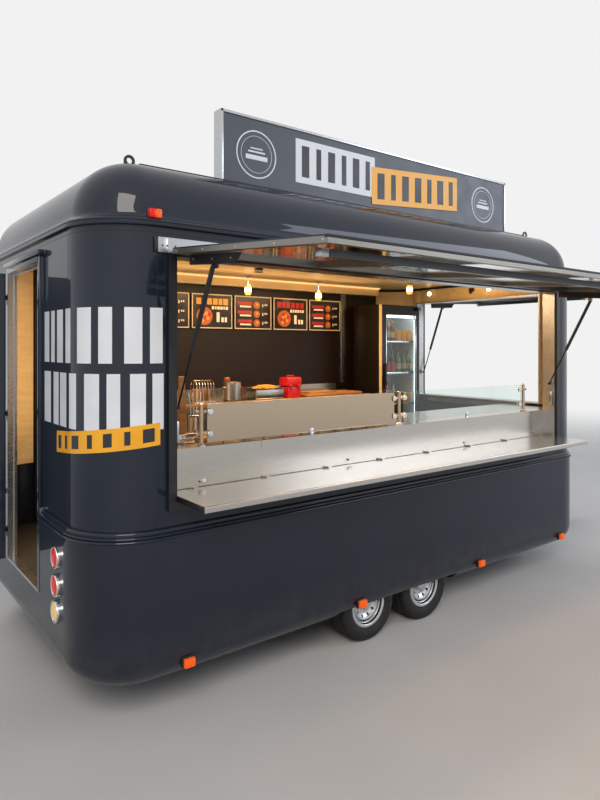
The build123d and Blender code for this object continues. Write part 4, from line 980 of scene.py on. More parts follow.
def make_hatch_edge(name, half, reach):
    """A black rubber bulb and strip along one hatch's free edge, a row of rivets behind them
    and rivets down the leaf's sides."""
    hatch, shape = Hatch(name), Shape()
    outer = half + OVERLAP
    bulb, under = 0.0042, -0.0105
    circle = bulb * np.array([(math.cos(a), math.sin(a)) for a in np.linspace(0, 2 * math.pi, 13)[:-1]])
    path = (-outer + 0.002, reach - bulb, under), (outer - 0.002, reach - bulb, under)
    shape.add(straight(circle, *path), 1, hatch.move)
    low, high = (-outer - 0.0003, reach - 0.02, -0.0092), (outer + 0.0003, reach + 0.0004, -0.0035)
    shape.box(low, high, 0.0008, 1, hatch.move)
    for place in np.linspace(-outer + 0.04, outer - 0.04, round(outer / 0.09)):
        shape.add(dome((place, reach - 0.02, FRAME_UNDER), UP, *RIVET[:2], 10), 0, hatch.move)
    for side in (-1, 1):
        for place in (0.06, 0.32, 0.60, 0.88, reach - 0.03):
            shape.add(dome((side * outer, place, 0.004), (side, 0, 0), *RIVET), 0, hatch.move)
    build(f"{hatch.title}_hatch_edge", shape, ["stainless", "seal"], f"{name}_hatch")


# Each hatch's name, half width of its opening, reach of its leaf, bays, and its strut
# plates' start, end and seat
HATCHES = (
    ("serving", SERVING_HALF, 1.200, 4, 0.030, 0.450, 0.294),
    ("front", FRONT_HALF, 1.020, 2, 0.030, 0.370, 0.230),
)


# Serving shelf and guard

# The shelf's top, its free and its hinged edge, and its ends
SHELF_TOP, SHELF_OUT, SHELF_ROOT = 1.137, -1.410, -1.030
SHELF_START, SHELF_END = 0.455, 3.895
# The upstand's outer face, and the places and heights of the latches on it
UPSTAND_Y = -1.020
LATCHES = (0.655, 1.710, 2.870, 3.770)
LATCH_LOW, LATCH_HIGH = 1.158, 1.176


def make_shelf():
    """The folding shelf's bright nose, rolled over the edge, and black caps on its ends."""
    shape = Shape()
    nose = [(0.0, SHELF_TOP + 0.0002), (0.018, SHELF_TOP + 0.0002), (0.018, SHELF_TOP + 0.0012)]
    nose += arc((-0.0004, SHELF_TOP - 0.005), 0.0062, 80, 180, 7)
    nose += [(-0.0066, SHELF_TOP - 0.030), (-0.0054, SHELF_TOP - 0.031), (0.004, SHELF_TOP - 0.031)]
    nose += [(0.004, SHELF_TOP - 0.030), (-0.0004, SHELF_TOP - 0.029), (-0.0004, SHELF_TOP - 0.006)]
    ends = body(SHELF_START - 0.002, SHELF_OUT, 0), body(SHELF_END + 0.002, SHELF_OUT, 0)
    shape.add(straight(nose, *ends), 0)
    for x, side in ((SHELF_START, -1), (SHELF_END, 1)):
        low = (x + side * 0.0005, SHELF_OUT - 0.004, SHELF_TOP - 0.029)
        high = (x + side * 0.0045, SHELF_ROOT - 0.012, SHELF_TOP - 0.001)
        shape.box(low, high, 0.0015, 1)
    build("Shelf_nose", shape, ["stainless", "black_plastic"], "serving_shelf")


def make_upstand():
    """The shelf's small latches on the upstand, each with its black button."""
    shape = Shape()
    for x in LATCHES:
        low, high = (x - 0.022, UPSTAND_Y - 0.003, LATCH_LOW), (x + 0.022, UPSTAND_Y - 0.0002, LATCH_HIGH)
        shape.box(low, high, 0.001)
        button = body(x - 0.016, UPSTAND_Y - 0.0025, (LATCH_LOW + LATCH_HIGH) / 2)
        shape.add(disc(button, TO_SERVING, 0.0055, 0.004, 0.001, 16), 1)
    build("Upstand_fittings", shape, ["stainless", "seal"])


# The guard's middle plane, its posts, the steel panel's two edges, the counter under it and
# the heights of its clamps
GUARD_Y = -0.990
GUARD_POSTS = (0.667, 2.193, 3.666)
GUARD_TOP, GUARD_LOW, GUARD_FOOT = 1.570, 1.363, 1.3492
CLAMP_HEIGHTS = (1.410, 1.530)


def make_guard():
    """The guard's round clamps, post caps and feet, the steel panel's two hems and the ticks
    under it, and a clip under the middle of the panel and of the glass."""
    shape = Shape()
    foot = [(0, 0), (0.026, 0), (0.026, 0.004), (0.016, 0.010), (0.0125, 0.016), (0, 0.016)]
    clamp = (0.0175, 0.007, 0.002, 28)
    first, last = (GUARD_POSTS[0], -1), (GUARD_POSTS[2], 1)
    for x in GUARD_POSTS:
        shape.add(dome(body(x, GUARD_Y, GUARD_TOP), UP, 0.0128, 0.008, 20))
        shape.add(turned(foot, body(x, GUARD_Y, 1.350), UP, 28))
        for z in CLAMP_HEIGHTS:
            for side in (-1, 1):
                if (x, side) in (first, last):
                    continue
                centre = body(x + side * 0.052, GUARD_Y - 0.0062, z)
                shape.add(disc(centre + (0, 0.0005, 0), TO_SERVING, *clamp))
                shape.add(disc(centre + (0, 0.0124, 0), TO_FAR, *clamp))
                shape.add(dome(centre + (0, -0.0065, 0), TO_SERVING, 0.006, 0.002, 14))
    low, high = GUARD_POSTS[0] + 0.036, GUARD_POSTS[1] - 0.050
    for level in (GUARD_TOP, GUARD_LOW):
        near = (low - 0.001, GUARD_Y - 0.0042, level - 0.0015)
        far = (high + 0.001, GUARD_Y + 0.0042, level + 0.0015)
        shape.box(near, far, 0.0012, 1)
    for x in np.arange(low + 0.10, high - 0.05, 0.135):
        near = (x - 0.004, GUARD_Y - 0.003, GUARD_FOOT)
        shape.box(near, (x + 0.004, GUARD_Y + 0.003, GUARD_LOW + 0.004), 0.001, 2)
    glass_low, glass_high = GUARD_POSTS[1] + 0.036, GUARD_POSTS[2] - 0.036
    for x in ((low + high) / 2, (glass_low + glass_high) / 2):
        near, far = (x - 0.014, GUARD_Y - 0.008, GUARD_FOOT), (x + 0.014, GUARD_Y + 0.008, 1.385)
        shape.box(near, far, 0.002)
        shape.add(dome(body(x, GUARD_Y - 0.008, 1.374), TO_SERVING, 0.005, 0.002, 14))
    build("Guard_fittings", shape, ["chrome", "guard", "seal"])


class TRAILER_OT_hatches(bpy.types.Operator):
    """Linings, strut housings, stiffeners and edges of the two raised hatches"""

    bl_idname = "trailer.hatches"
    bl_label = "Hatches"

    def execute(self, context):
        for name, half, reach, bays, *arm in HATCHES:
            make_hatch_lining(name, half, reach, bays)
            make_hatch_housings(name, half, *arm)
            make_hatch_stiffener(name, half, reach)
        for name, half, reach, *_ in HATCHES:
            make_hatch_edge(name, half, reach)
        return {"FINISHED"}


class TRAILER_OT_counter(bpy.types.Operator):
    """Nose of the serving shelf, fittings of the upstand and of the counter guard"""

    bl_idname = "trailer.counter"
    bl_label = "Shelf and guard"

    def execute(self, context):
        make_shelf()
        make_upstand()
        make_guard()
        return {"FINISHED"}


# Kitchen

COUNTER_TOP, WORKTOP_TOP = 1.420, 1.345


def block_at(shape, x, y, z, size, mark=0, radius=0.003, turn=0.0):
    """Adds a rounded box that stands on z, centred on x and y and turned about its upright."""
    half = np.array(size, float) / 2
    cos, sin = math.cos(turn), math.sin(turn)
    spin = np.array([(cos, sin, 0), (-sin, cos, 0), (0, 0, 1)])
    middle = body(x, y, z + half[2])
    shape.box(-half, half, radius, mark, lambda points: middle + points @ spin)


def make_rack():
    """A wire toast rack: hoops of round wire, each half an ellipse on two legs, over two base
    wires and under a top one, with a slice in every other gap."""
    shape = Shape()
    base = COUNTER_TOP + 0.004
    start, end, middle, half = 1.52, 1.68, 0.70, 0.055
    leg, crown = 0.125, 0.050
    angle = np.linspace(math.pi, 0, 15)
    hoop_y, hoop_z = middle + half * np.cos(angle), base + leg + crown * np.sin(angle)
    hoops = 7
    for i, x in enumerate(np.linspace(start, end, hoops)):
        bend = np.column_stack([np.full_like(angle, x), hoop_y, hoop_z])
        path = np.vstack([[x, middle - half, base], bend, [x, middle + half, base]])
        shape.add(rod(path + HOME, 0.0028, 8))
        if i % 2 == 0 and i < hoops - 1:
            shape.box((x + 0.006, 0.652, base + 0.004), (x + 0.024, 0.748, base + 0.105), 0.006, 1)
    for y in (middle - half, middle + half):
        shape.add(rod([body(start - 0.015, y, base), body(end + 0.015, y, base)], 0.0035, 8))
    top = base + leg + crown
    shape.add(rod([body(start, middle, top), body(end, middle, top)], 0.0035, 8))
    build("Wire_rack", shape, ["chrome", "crust"])


def make_pot():
    """A tall steel pot with a rolled rim and two bent handles, its filling near the rim and a
    ladle with an orange grip in it."""
    shape = Shape()
    radius, height = 0.078, 0.160
    centre = body(1.860, 0.650, COUNTER_TOP)
    inner = radius - 0.003
    wall = [(0, 0.0005), (radius - 0.008, 0.0005), (radius, 0.008), (radius, height - 0.006)]
    wall += [(radius + 0.006, height), (radius + 0.005, height + 0.003), (radius - 0.001, height)]
    wall += [(inner, height - 0.008), (inner, 0.010), (0, 0.008)]
    shape.add(turned(wall, centre, UP, 48))
    angle = np.linspace(0, math.pi, 11)
    for side in (-1, 1):
        out, along = side * (radius - 0.001 + 0.026 * np.sin(angle)), 0.032 * np.cos(angle)
        path = centre + np.column_stack([out, along, np.full_like(angle, 0.118)])
        shape.add(rod(path, 0.004, 8))
    filling = [(0, 0.0), (radius - 0.004, 0.0), (radius - 0.004, 0.004), (0, 0.006)]
    shape.add(turned(filling, centre + (0, 0, height - 0.035), UP, 32), 2)
    shape.add(rod(centre + [(-0.025, -0.020, 0.120), (-0.065, -0.040, 0.185)], 0.006, 10), 1)
    grip = centre + (-0.095, -0.058, 0.165), centre + (-0.048, -0.018, 0.203)
    shape.add(rounded_box(*grip, 0.012, 4), 1)
    build("Steel_pot", shape, ["stainless", "orange", "crust"])


def make_pan():
    """A steel pan with a turned-out rim, heaped with chips: each lies a golden angle further
    round than the last, farther out by the square root of its number, and lower."""
    shape = Shape()
    x, y, top = 2.21, 0.66, COUNTER_TOP + 0.094
    half_x, half_y, rim = 0.150, 0.085, 0.008
    low, high = (x - half_x, y - half_y, COUNTER_TOP + 0.0005), (x + half_x, y + half_y, top - 0.004)
    shape.box(low, high, 0.012, 0, None, 4)
    low, high = (x - half_x - rim, y - half_y - rim, top - 0.004), (x + half_x + rim, y + half_y + rim, top)
    shape.box(low, high, 0.002)
    chips, heap, stretch, golden = 60, 0.062, 1.75, 2.399
    for i in range(chips):
        out = heap * math.sqrt(i / chips)
        place = x + stretch * out * math.cos(golden * i), y + out * math.sin(golden * i)
        rise = top - 0.004 + 0.022 * (1 - i / chips) + 0.003 * math.sin(5.1 * i)
        block_at(shape, *place, rise, (0.058, 0.011, 0.011), 1, 0.002, 1.7 * i)
    build("Steel_pan", shape, ["stainless", "chips"])


def make_red_box():
    """A red plastic box with a deep lid, a dark joint round its middle, two catches and a
    handle on top."""
    shape = Shape()
    x, y, z = 2.485, 0.650, COUNTER_TOP + 0.0005
    half_x, half_y, lid, top = 0.080, 0.070, 0.100, 0.182
    # How far each layer draws in from the lid, its heights, its rounding and its finish
    for inset, low, high, radius, mark, steps in (
        (0.006, 0.0, lid - 0.002, 0.010, 0, 4),
        (0.0, lid, top, 0.012, 0, 4),
        (0.010, lid - 0.005, lid + 0.004, 0.002, 1, 2),
    ):
        reach_x, reach_y = half_x - inset, half_y - inset
        near, far = (x - reach_x, y - reach_y, z + low), (x + reach_x, y + reach_y, z + high)
        shape.box(near, far, radius, mark, None, steps)
    for place in (x - 0.045, x + 0.045):
        near = (place - 0.012, y - half_y - 0.004, z + lid - 0.022)
        shape.box(near, (place + 0.012, y - half_y + 0.008, z + lid + 0.018), 0.003)
    handle = [(-0.045, 0, top), (-0.040, 0, top + 0.014), (0.040, 0, top + 0.014), (0.045, 0, top)]
    shape.add(rod(body(x, y, z) + handle, 0.005, 8))
    build("Red_box", shape, ["red", "black_plastic"])


def make_boards():
    """Wooden boards: three flat ones on the back counter, one on the serving worktop, and one
    on end in a steel holder, whose front edge tapers towards its top."""
    shape = Shape()
    counter, worktop = COUNTER_TOP + 0.0005, WORKTOP_TOP + 0.0005
    # Start and end along and across the trailer, foot and thickness
    for start, end, near, far, foot, thick in (
        (2.64, 3.02, 0.60, 0.86, counter, 0.020),
        (3.04, 3.36, 0.62, 0.90, counter, 0.018),
        (2.70, 3.05, 0.64, 0.82, counter + 0.021, 0.015),
        (0.735, 0.99, -0.86, -0.62, worktop, 0.022),
    ):
        shape.box((start, near, foot), (end, far, foot + thick), 0.004)
    height, taper_start = 0.370, 0.280
    points, faces = rounded_box(np.array((-0.028, -0.010, 0.0)), np.array((0.028, 0.010, height)), 0.006, 3)
    up = np.clip((points[:, 2:] - taper_start) / (height - taper_start), 0, 1)
    drawn_in = points[:, :1] * (1 - 0.75 * up * (points[:, :1] > 0))
    shape.add((np.column_stack([drawn_in, points[:, 1:]]) + body(0.655, -0.80, worktop), faces))
    shape.box((0.60, -0.85, worktop), (0.71, -0.76, worktop + 0.055), 0.006, 1)
    build("Wooden_boards", shape, ["oak", "stainless"])


def make_ware():
    """Two small steel tubs on the serving worktop, one with upright tongs in it."""
    shape = Shape()
    tall, low = body(0.78, -0.72, WORKTOP_TOP + 0.0005), body(0.53, -0.82, WORKTOP_TOP + 0.0005)
    for centre, radius, height in ((tall, 0.045, 0.13), (low, 0.034, 0.10)):
        inner = radius - 0.002
        tub = [(0, 0), (radius - 0.004, 0), (radius, 0.005), (radius, height)]
        tub += [(radius + 0.003, height + 0.002), (inner, height), (inner, 0.006), (0, 0.006)]
        shape.add(turned(tub, centre, UP, 36))
    for i in range(4):
        lean = 0.02 * (i - 1.5)
        shape.add(rod(tall + [(lean * 0.4, 0, 0.02), (lean * 1.6, 0.01 * i, 0.27)], 0.004, 8), 0)
    build("Worktop_ware", shape, ["stainless"])


def make_edges():
    """Wooden nosings along both worktops' room side, and the fine joint in the bright front
    edge of the serving worktop."""
    shape = Shape()
    shape.box((0.446, -0.4515, 1.311), (3.249, -0.4425, 1.3445), 0.002, 0)
    shape.box((0.561, 0.5515, 1.386), (3.399, 0.5595, 1.4195), 0.002, 0)
    shape.box((1.034, -1.0246, 1.311), (1.036, -1.0238, 1.3485), 0.0003, 1)
    build("Worktop_edges", shape, ["oak", "seal"])


# Menu boards and the far wall

# How many boards, where the first starts and how far apart, their size and front face
BOARDS, BOARD_START, BOARD_PITCH = 6, 0.800, 0.447
BOARD_WIDTH, BOARD_LOW, BOARD_HEIGHT = 0.420, 2.050, 0.315
BOARD_FACE = 1.066
# The finishes of their marks
IVORY, HONEY, ORANGE, RED = range(4)


def add_bar(shape, x, left, right, low, high, mark):
    """A plain bar on the menu board that starts at x, by places from its lower left."""
    front = BOARD_FACE - 0.0003
    near, far = (x + left, front - 0.0008, BOARD_LOW + low), (x + right, front, BOARD_LOW + high)
    shape.box(near, far, 0.0003, mark, None, 1)


def add_disc(shape, x, across, up, radius, mark, lift=0.0012):
    """A plain disc on the menu board that starts at x."""
    centre = body(x + across, BOARD_FACE - 0.0003, BOARD_LOW + up)
    shape.add(disc(centre, TO_SERVING, radius, lift, 0.0004, 28), mark)


def add_list(marks, x):
    """A menu board's list: three rows, each a red bar over an ivory one, a disc beside them
    and three short bars."""
    for row in range(3):
        level = 0.215 - 0.085 * row
        add_bar(marks, x, 0.035, 0.195, level + 0.016, level + 0.046, RED)
        add_bar(marks, x, 0.060, 0.185, level - 0.008, level + 0.008, IVORY)
        add_disc(marks, x, 0.250, level + 0.016, 0.036, ORANGE)
        add_disc(marks, x, 0.256, level + 0.022, 0.014, HONEY, 0.0018)
        for left, right, low in ((0.315, 0.325, 0.002), (0.340, 0.352, 0.014), (0.360, 0.372, 0.014)):
            add_bar(marks, x, left, right, level + low, level + 0.030, IVORY)


def add_dish(marks, x, heading):
    """A menu board's dish: two rows of blocks, a large disc with small ones spread on it by
    the golden angle, and three upright bars."""
    for start, end in bars(0.045, 0.375, (5, 4, 5, 5, 4, 5), 0.010):
        add_bar(marks, x, start, end, 0.218, 0.276, heading)
    for start, end in bars(0.205, 0.375, (3, 2, 3, 3, 2, 3), 0.008):
        add_bar(marks, x, start, end, 0.176, 0.204, IVORY)
    across, up, bits = 0.130, 0.112, 9
    add_disc(marks, x, across, up, 0.082, ORANGE)
    for k in range(bits):
        out, turn = 0.052 * math.sqrt(k / bits), 2.4 * k
        spot = across + out * math.cos(turn), up + out * math.sin(turn)
        add_disc(marks, x, *spot, 0.017, HONEY if k % 2 else RED, 0.002 + 0.0002 * k)
    for left, right, high in ((0.255, 0.285, 0.150), (0.305, 0.330, 0.105), (0.340, 0.365, 0.105)):
        add_bar(marks, x, left, right, 0.060, high, IVORY)


def make_menus(lip):
    """Menu boards: a pale frame round a black face, with plain marks on it in two layouts
    that take turns."""
    frames, marks = Shape(), Shape()
    face, back = BOARD_FACE - 0.004, BOARD_FACE - 0.0002
    for i in range(BOARDS):
        start = BOARD_START + i * BOARD_PITCH
        low, high = (start, face, BOARD_LOW), (start + BOARD_WIDTH, back, BOARD_LOW + BOARD_HEIGHT)
        frames.border(low, high, lip, 0.0015, lip)
        if i % 2:
            add_list(marks, start)
        else:
            add_dish(marks, start, HONEY if i % 4 == 2 else RED)
    build("Board_frames", frames, ["frame_cream"])
    build("Board_marks", marks, ["board_white", "board_amber", "orange", "board_red"])


def make_far_wall():
    """The shelf rail on the far wall, with two rows of slots, and a tall dark panel with a
    pale front edge beside the fridge: the fridge cabinet's side, whose near-black face is painted shade, as that
    side stands in shade."""
    shape = Shape()
    wall = 1.086
    shape.box((3.474, wall - 0.012, 1.50), (3.545, wall - 0.0003, 2.443), 0.003)
    for x in (3.495, 3.524):
        for z in np.arange(1.53, 2.42, 0.025):
            low, high = (x - 0.005, wall - 0.0126, z), (x + 0.005, wall - 0.0115, z + 0.014)
            shape.box(low, high, 0.0004, 1, None, 1)
    # The fridge cabinet's side in near-black walnut: painted shade, as this side faces the rear in shade; its
    # front edge is pale
    shape.box((3.6085, 0.634, 0.521), (3.6195, 1.028, 2.319), 0.002, 2)
    shape.box((3.6065, 0.600, 0.521), (3.6195, 0.6335, 2.319), 0.002, 3)
    build("Shelf_rail", shape, ["upright", "black_plastic", "wood", "cream"])


# Ceiling

PLANK_TOP, PLANK_THICKNESS = 2.5277, 0.006


def add_pendant(metal, glow, x, y, stem):
    """A lamp that hangs from the ceiling: a round foot, a stem and a cap of metal, a glowing
    shade under it and a brighter band round the shade."""
    foot = body(x, y, PLANK_TOP - PLANK_THICKNESS)
    cap = [(0, 0), (0.040, 0), (0.040, 0.006), (0.006, 0.010), (0.006, stem)]
    cap += [(0.028, stem + 0.004), (0.028, stem + 0.014), (0, stem + 0.014)]
    metal.add(turned(cap, foot, DOWN, 32))
    shade = [(0, 0.0145), (0.027, 0.0145), (0.028, 0.090), (0.024, 0.096), (0, 0.098)]
    band = [(0, 0.030), (0.0302, 0.031), (0.0304, 0.070), (0, 0.071)]
    glow.add(turned(shade, foot - (0, 0, stem), DOWN, 28), 1)
    glow.add(turned(band, foot - (0, 0, stem), DOWN, 28), 2)


def add_spot(metal, glow, x, y):
    """A flush spot lamp in the ceiling: a glowing disc in a bevelled ring."""
    centre = body(x, y, PLANK_TOP - PLANK_THICKNESS - 0.0003)
    glow.add(disc(centre, DOWN, 0.036, 0.004, 0.001, 28), 1)
    ring = [(0.0365, 0), (0.046, 0), (0.046, 0.004), (0.0365, 0.006)]
    metal.add(turned(ring, centre, DOWN, 32, True))


def make_ceiling(plank_width):
    """Planks across the ceiling with fine gaps, the outer ones shorter, a lit strip before
    the cornice, hanging lamps, flush ones, small black sensors, and a sensor and two round
    lamps on the front wall."""
    planks, glow, metal = Shape(), Shape(), Shape()
    gap, under = 0.003, PLANK_TOP - PLANK_THICKNESS
    for y in np.arange(-0.98, 0.93, plank_width + gap):
        start = 0.10 if abs(y + 0.098) < 0.75 else 0.26
        planks.box((start, y, under), (LENGTH - start, y + plank_width, PLANK_TOP), 0.0015)
    glow.box((0.42, 0.950, PLANK_TOP - 0.016), (3.94, 0.992, PLANK_TOP - 0.001), 0.004, 0)
    for place in ((1.30, 0.80, 0.075), (2.12, 0.80, 0.075), (2.94, 0.80, 0.090), (3.70, 0.30, 0.020)):
        add_pendant(metal, glow, *place)
    for x, y in ((3.35, -0.55), (1.89, 0.28), (2.35, -0.60)):
        metal.box((x - 0.03, y - 0.02, PLANK_TOP - 0.040), (x + 0.03, y + 0.02, under - 0.0002), 0.004, 1)
    for x in (0.95, 1.75, 2.55, 3.35):
        add_spot(metal, glow, x, -0.62)
    wall = LENGTH - INNER_INSET - 0.0062
    metal.box((wall - 0.016, -0.020, 2.442), (wall, 0.040, 2.478), 0.004, 1)
    metal.box((wall - 0.030, 0.000, 2.420), (wall - 0.010, 0.022, 2.446), 0.004, 1)
    foot = [(0, 0), (0.030, 0), (0.030, 0.005), (0.024, 0.007), (0, 0.007)]
    lens = [(0, 0.0072), (0.023, 0.0072), (0.022, 0.018), (0.012, 0.026), (0, 0.028)]
    for centre in (body(wall, -0.200, 2.452), body(wall, 0.560, 2.455)):
        metal.add(turned(foot, centre, TO_REAR, 28))
        glow.add(turned(lens, centre, TO_REAR, 24), 2)
    build("Ceiling_planks", planks, ["cream"])
    build("Ceiling_glow", glow, ["strip_glow", "warm_glow", "bulb_glow"])
    build("Ceiling_lamps", metal, ["chrome", "black_plastic"])


# Fridge


def make_fridge():
    """The fridge's room: white liner walls, a cool lamp along its top and one down its side,
    shelf fronts, and on the floor and each shelf two rows of bottles and cans."""
    liner, stock = Shape(), Shape()
    start, end, front, back, low, high = 3.6505, 4.1595, 0.634, 0.9995, 0.641, 2.2195
    sheet = 0.002
    liner.box((start, front, low), (start + sheet, back, high), 0.0005)
    liner.box((end - sheet, front, low), (end, back, high), 0.0005)
    liner.box((start, back - sheet, low), (end, back, high), 0.0005)
    liner.box((start + sheet, front + 0.004, high - sheet), (end - sheet, back - sheet, high), 0.0005)
    near, far = (start + 0.03, front + 0.012, high - 0.030), (end - 0.03, front + 0.040, high - 0.004)
    liner.box(near, far, 0.004, 1)
    near, far = (end - 0.014, front + 0.008, low + 0.03), (end - 0.006, front + 0.014, high - 0.05)
    liner.box(near, far, 0.002, 1)
    lowest_shelf, shelf_pitch = 0.9485, 0.330
    shelves = [lowest_shelf + shelf_pitch * i for i in range(4)]
    for z in shelves:
        liner.box((start + 0.003, 0.644, z - 0.012), (end - 0.003, 0.6495, z + 0.006), 0.001, 2)
    bottle = [(0, 0), (0.028, 0), (0.030, 0.004), (0.030, 0.130)]
    bottle += [(0.024, 0.155), (0.011, 0.185), (0.011, 0.225), (0, 0.227)]
    can = [(0, 0), (0.027, 0), (0.031, 0.006), (0.031, 0.112), (0.026, 0.12), (0, 0.119)]
    label = [(0.0302, 0.040), (0.0306, 0.041), (0.0306, 0.100), (0.0302, 0.101)]
    for row, z in enumerate([low + 0.001, *shelves]):
        for i, j in np.ndindex(6, 2):
            foot = body(start + 0.050 + 0.0815 * i, 0.695 + 0.085 * j, z + 0.001)
            is_bottle = (row + i // 3) % 2 == 0
            stock.add(turned(bottle if is_bottle else can, foot, UP, 14), (row * 2 + i // 3) % 4)
            if is_bottle:
                stock.add(turned(label, foot, UP, 14, True), 4)
    build("Fridge_liner", liner, ["fridge_white", "cool_glow", "chrome"])
    build("Fridge_stock", stock, ["bottle", "amber_film", "red", "bottle_green", "label"])


def make_fridge_trim():
    """The fridge door's bright inner bead, its black grip and a small red plate on it."""
    shape = Shape()
    shape.border((3.676, 0.598, 0.595), (4.128, 0.601, 2.217), 0.008, 0.0008)
    shape.box((3.6365, 0.5665, 1.445), (3.6575, 0.5735, 1.715), 0.003, 1)
    shape.box((3.6390, 0.5652, 1.455), (3.6550, 0.5672, 1.487), 0.0008, 2)
    build("Fridge_bead", shape, ["chrome", "black_plastic", "red"], "fridge_door")


class TRAILER_OT_kitchen(bpy.types.Operator):
    """Ware, boards and edges on the counters"""

    bl_idname = "trailer.kitchen"
    bl_label = "Kitchen ware"

    def execute(self, context):
        make_rack()
        make_pot()
        make_pan()
        make_red_box()
        make_boards()
        make_ware()
        make_edges()
        return {"FINISHED"}


class TRAILER_OT_room(bpy.types.Operator):
    """Menu boards, far wall, ceiling and fridge"""

    bl_idname = "trailer.room"
    bl_label = "Room"

    def execute(self, context):
        make_menus(context.scene.trailer_sizes.board_lip)
        make_far_wall()
        make_ceiling(context.scene.trailer_sizes.plank_width)
        make_fridge()
        make_fridge_trim()
        return {"FINISHED"}


# Sign and graphics

# The sign's face, the thickness of the sheets on it, its box's edges and its marks' middle
SIGN_PLANE, SIGN_SHEET = -0.744, 0.0025
SIGN_START, SIGN_END, SIGN_LOW, SIGN_HIGH = 0.931, 3.765, 2.860, 3.300
SIGN_MIDDLE = 3.070


def slab(start, end, low, high, proud=0.0, climb=0.0):
    """A thin sheet on the sign's face between two places along it and two heights. proud
    lifts it off the face and climb raises its far end."""
    back = SIGN_PLANE - proud
    front = back - SIGN_SHEET
    section = [(back, low), (front, low), (front, high), (back, high)]
    return straight(section, body(start, 0, 0), body(end, 0, climb))


def bars(start, end, widths, gap):
    """Start and end of upright bars laid evenly between two places, by relative widths."""
    room = end - start - gap * (len(widths) - 1)
    edges, place = [], start
    for width in widths:
        size = room * width / sum(widths)
        edges.append((place, place + size))
        place += size + gap
    return edges


def make_sign(ring):
    """The sign's panels: a white one, an amber one that climbs over it, plain dark bars on
    both, and at each end two plain rings round three short bars."""
    shape = Shape()
    shape.add(slab(1.490, 2.200, 2.950, 3.235), 0)
    for start, end in bars(1.540, 2.150, (3, 2, 3, 2, 3, 2), 0.062):
        shape.add(slab(start, end, 2.992, 3.195, 0.002), 2)
    first, last, climb = 2.170, 3.115, 0.072
    slope = climb / (last - first)
    shape.add(slab(first, last, 2.900, 3.166, 0.003, climb), 1)
    for start, end in bars(2.225, 3.060, (3, 2, 3, 3, 2, 3, 2), 0.070):
        lift = slope * (start - first)
        shape.add(slab(start, end, 2.940 + lift, 3.126 + lift, 0.005, slope * (end - start)), 2)
    for x in (1.187, 3.455):
        for inner, outer in ((ring - 0.008, ring), (0.112, 0.1145)):
            band = [(inner, 0.0), (outer, 0.0), (outer, 0.002), (inner, 0.002)]
            shape.add(turned(band, body(x, SIGN_PLANE, SIGN_MIDDLE), TO_SERVING, 72, True), 3)
        for low, high, half in ((-0.034, -0.006, 0.080), (0.010, 0.020, 0.062), (0.032, 0.040, 0.045)):
            shape.add(slab(x - half, x + half, SIGN_MIDDLE + low, SIGN_MIDDLE + high), 3)
    build("Sign_panels", shape, ["white", "amber_film", "ink", "white"])


def make_sign_trim():
    """The sign box's bright front lip, and screws down its ends."""
    shape = Shape()
    face = -0.750
    low, high = (SIGN_START, face - 0.0015, SIGN_LOW), (SIGN_END, face + 0.0005, SIGN_HIGH)
    shape.border(low, high, 0.016, 0.001)
    for z in np.linspace(SIGN_LOW + 0.06, SIGN_HIGH - 0.06, 4):
        for x, way in ((SIGN_START - 0.0002, TO_REAR), (SIGN_END + 0.0002, TO_FRONT)):
            shape.add(dome(body(x, face + 0.042, z), way, 0.006, 0.002, 14))
    build("Sign_lip", shape, ["upright"])


# Low and high of the corner's two rows of film, and start and end of each pair of bars,
# by distance round the body
CORNER_ROWS = (
    (1.800, 2.072, ((0.400, 0.583), (0.623, 0.836), (0.904, 1.119), (1.180, 1.378))),
    (1.476, 1.750, ((0.400, 0.649), (0.674, 0.895), (0.958, 1.160), (1.209, 1.383))),
)


def make_corner_films(band_height):
    """Plain film on the rear serving corner: two rows of white bars in pairs wrapped round
    it, and under them an amber band that climbs forward, with short dark bars on it."""
    shape = Shape()
    face = WALL_INSET - 0.0002
    for low, high, blocks in CORNER_ROWS:
        for start, end in blocks:
            for left, right in bars(start, end, (4, 3), 0.2 * (end - start)):
                shape.add(film(left, right, low, high, face), 0)
    start, end, low, climb = 0.623, 1.365, 1.334, 0.066
    high = low + band_height
    shape.add(film(start, end, low, high, face - 0.0008, 0.0006, climb), 1)
    slope = climb / (end - start)
    for left, right in bars(start + 0.030, end - 0.030, (3, 2, 4, 2, 3, 2, 4), 0.062):
        lift = slope * (left - start)
        edges = low + 0.022 + lift, high - 0.022 + lift
        shape.add(film(left, right, *edges, face - 0.0016, 0.0006, slope * (right - left)), 2)
    build("Corner_films", shape, ["white", "amber_film", "ink"])


class TRAILER_OT_sign(bpy.types.Operator):
    """Panels and lip of the roof sign, and the plain film on the rear corner"""

    bl_idname = "trailer.sign"
    bl_label = "Sign and films"

    def execute(self, context):
        make_sign(context.scene.trailer_sizes.sign_ring)
        make_sign_trim()
        make_corner_films(context.scene.trailer_sizes.band_height)
        return {"FINISHED"}


# Lamps

# The tail lamps' distance from the middle, and the side markers' from the rear face
TAIL_LAMP_Y = 0.700
SIDE_MARKERS = (0.506, 0.387 * LENGTH, 0.6584 * LENGTH, LENGTH - 0.411)


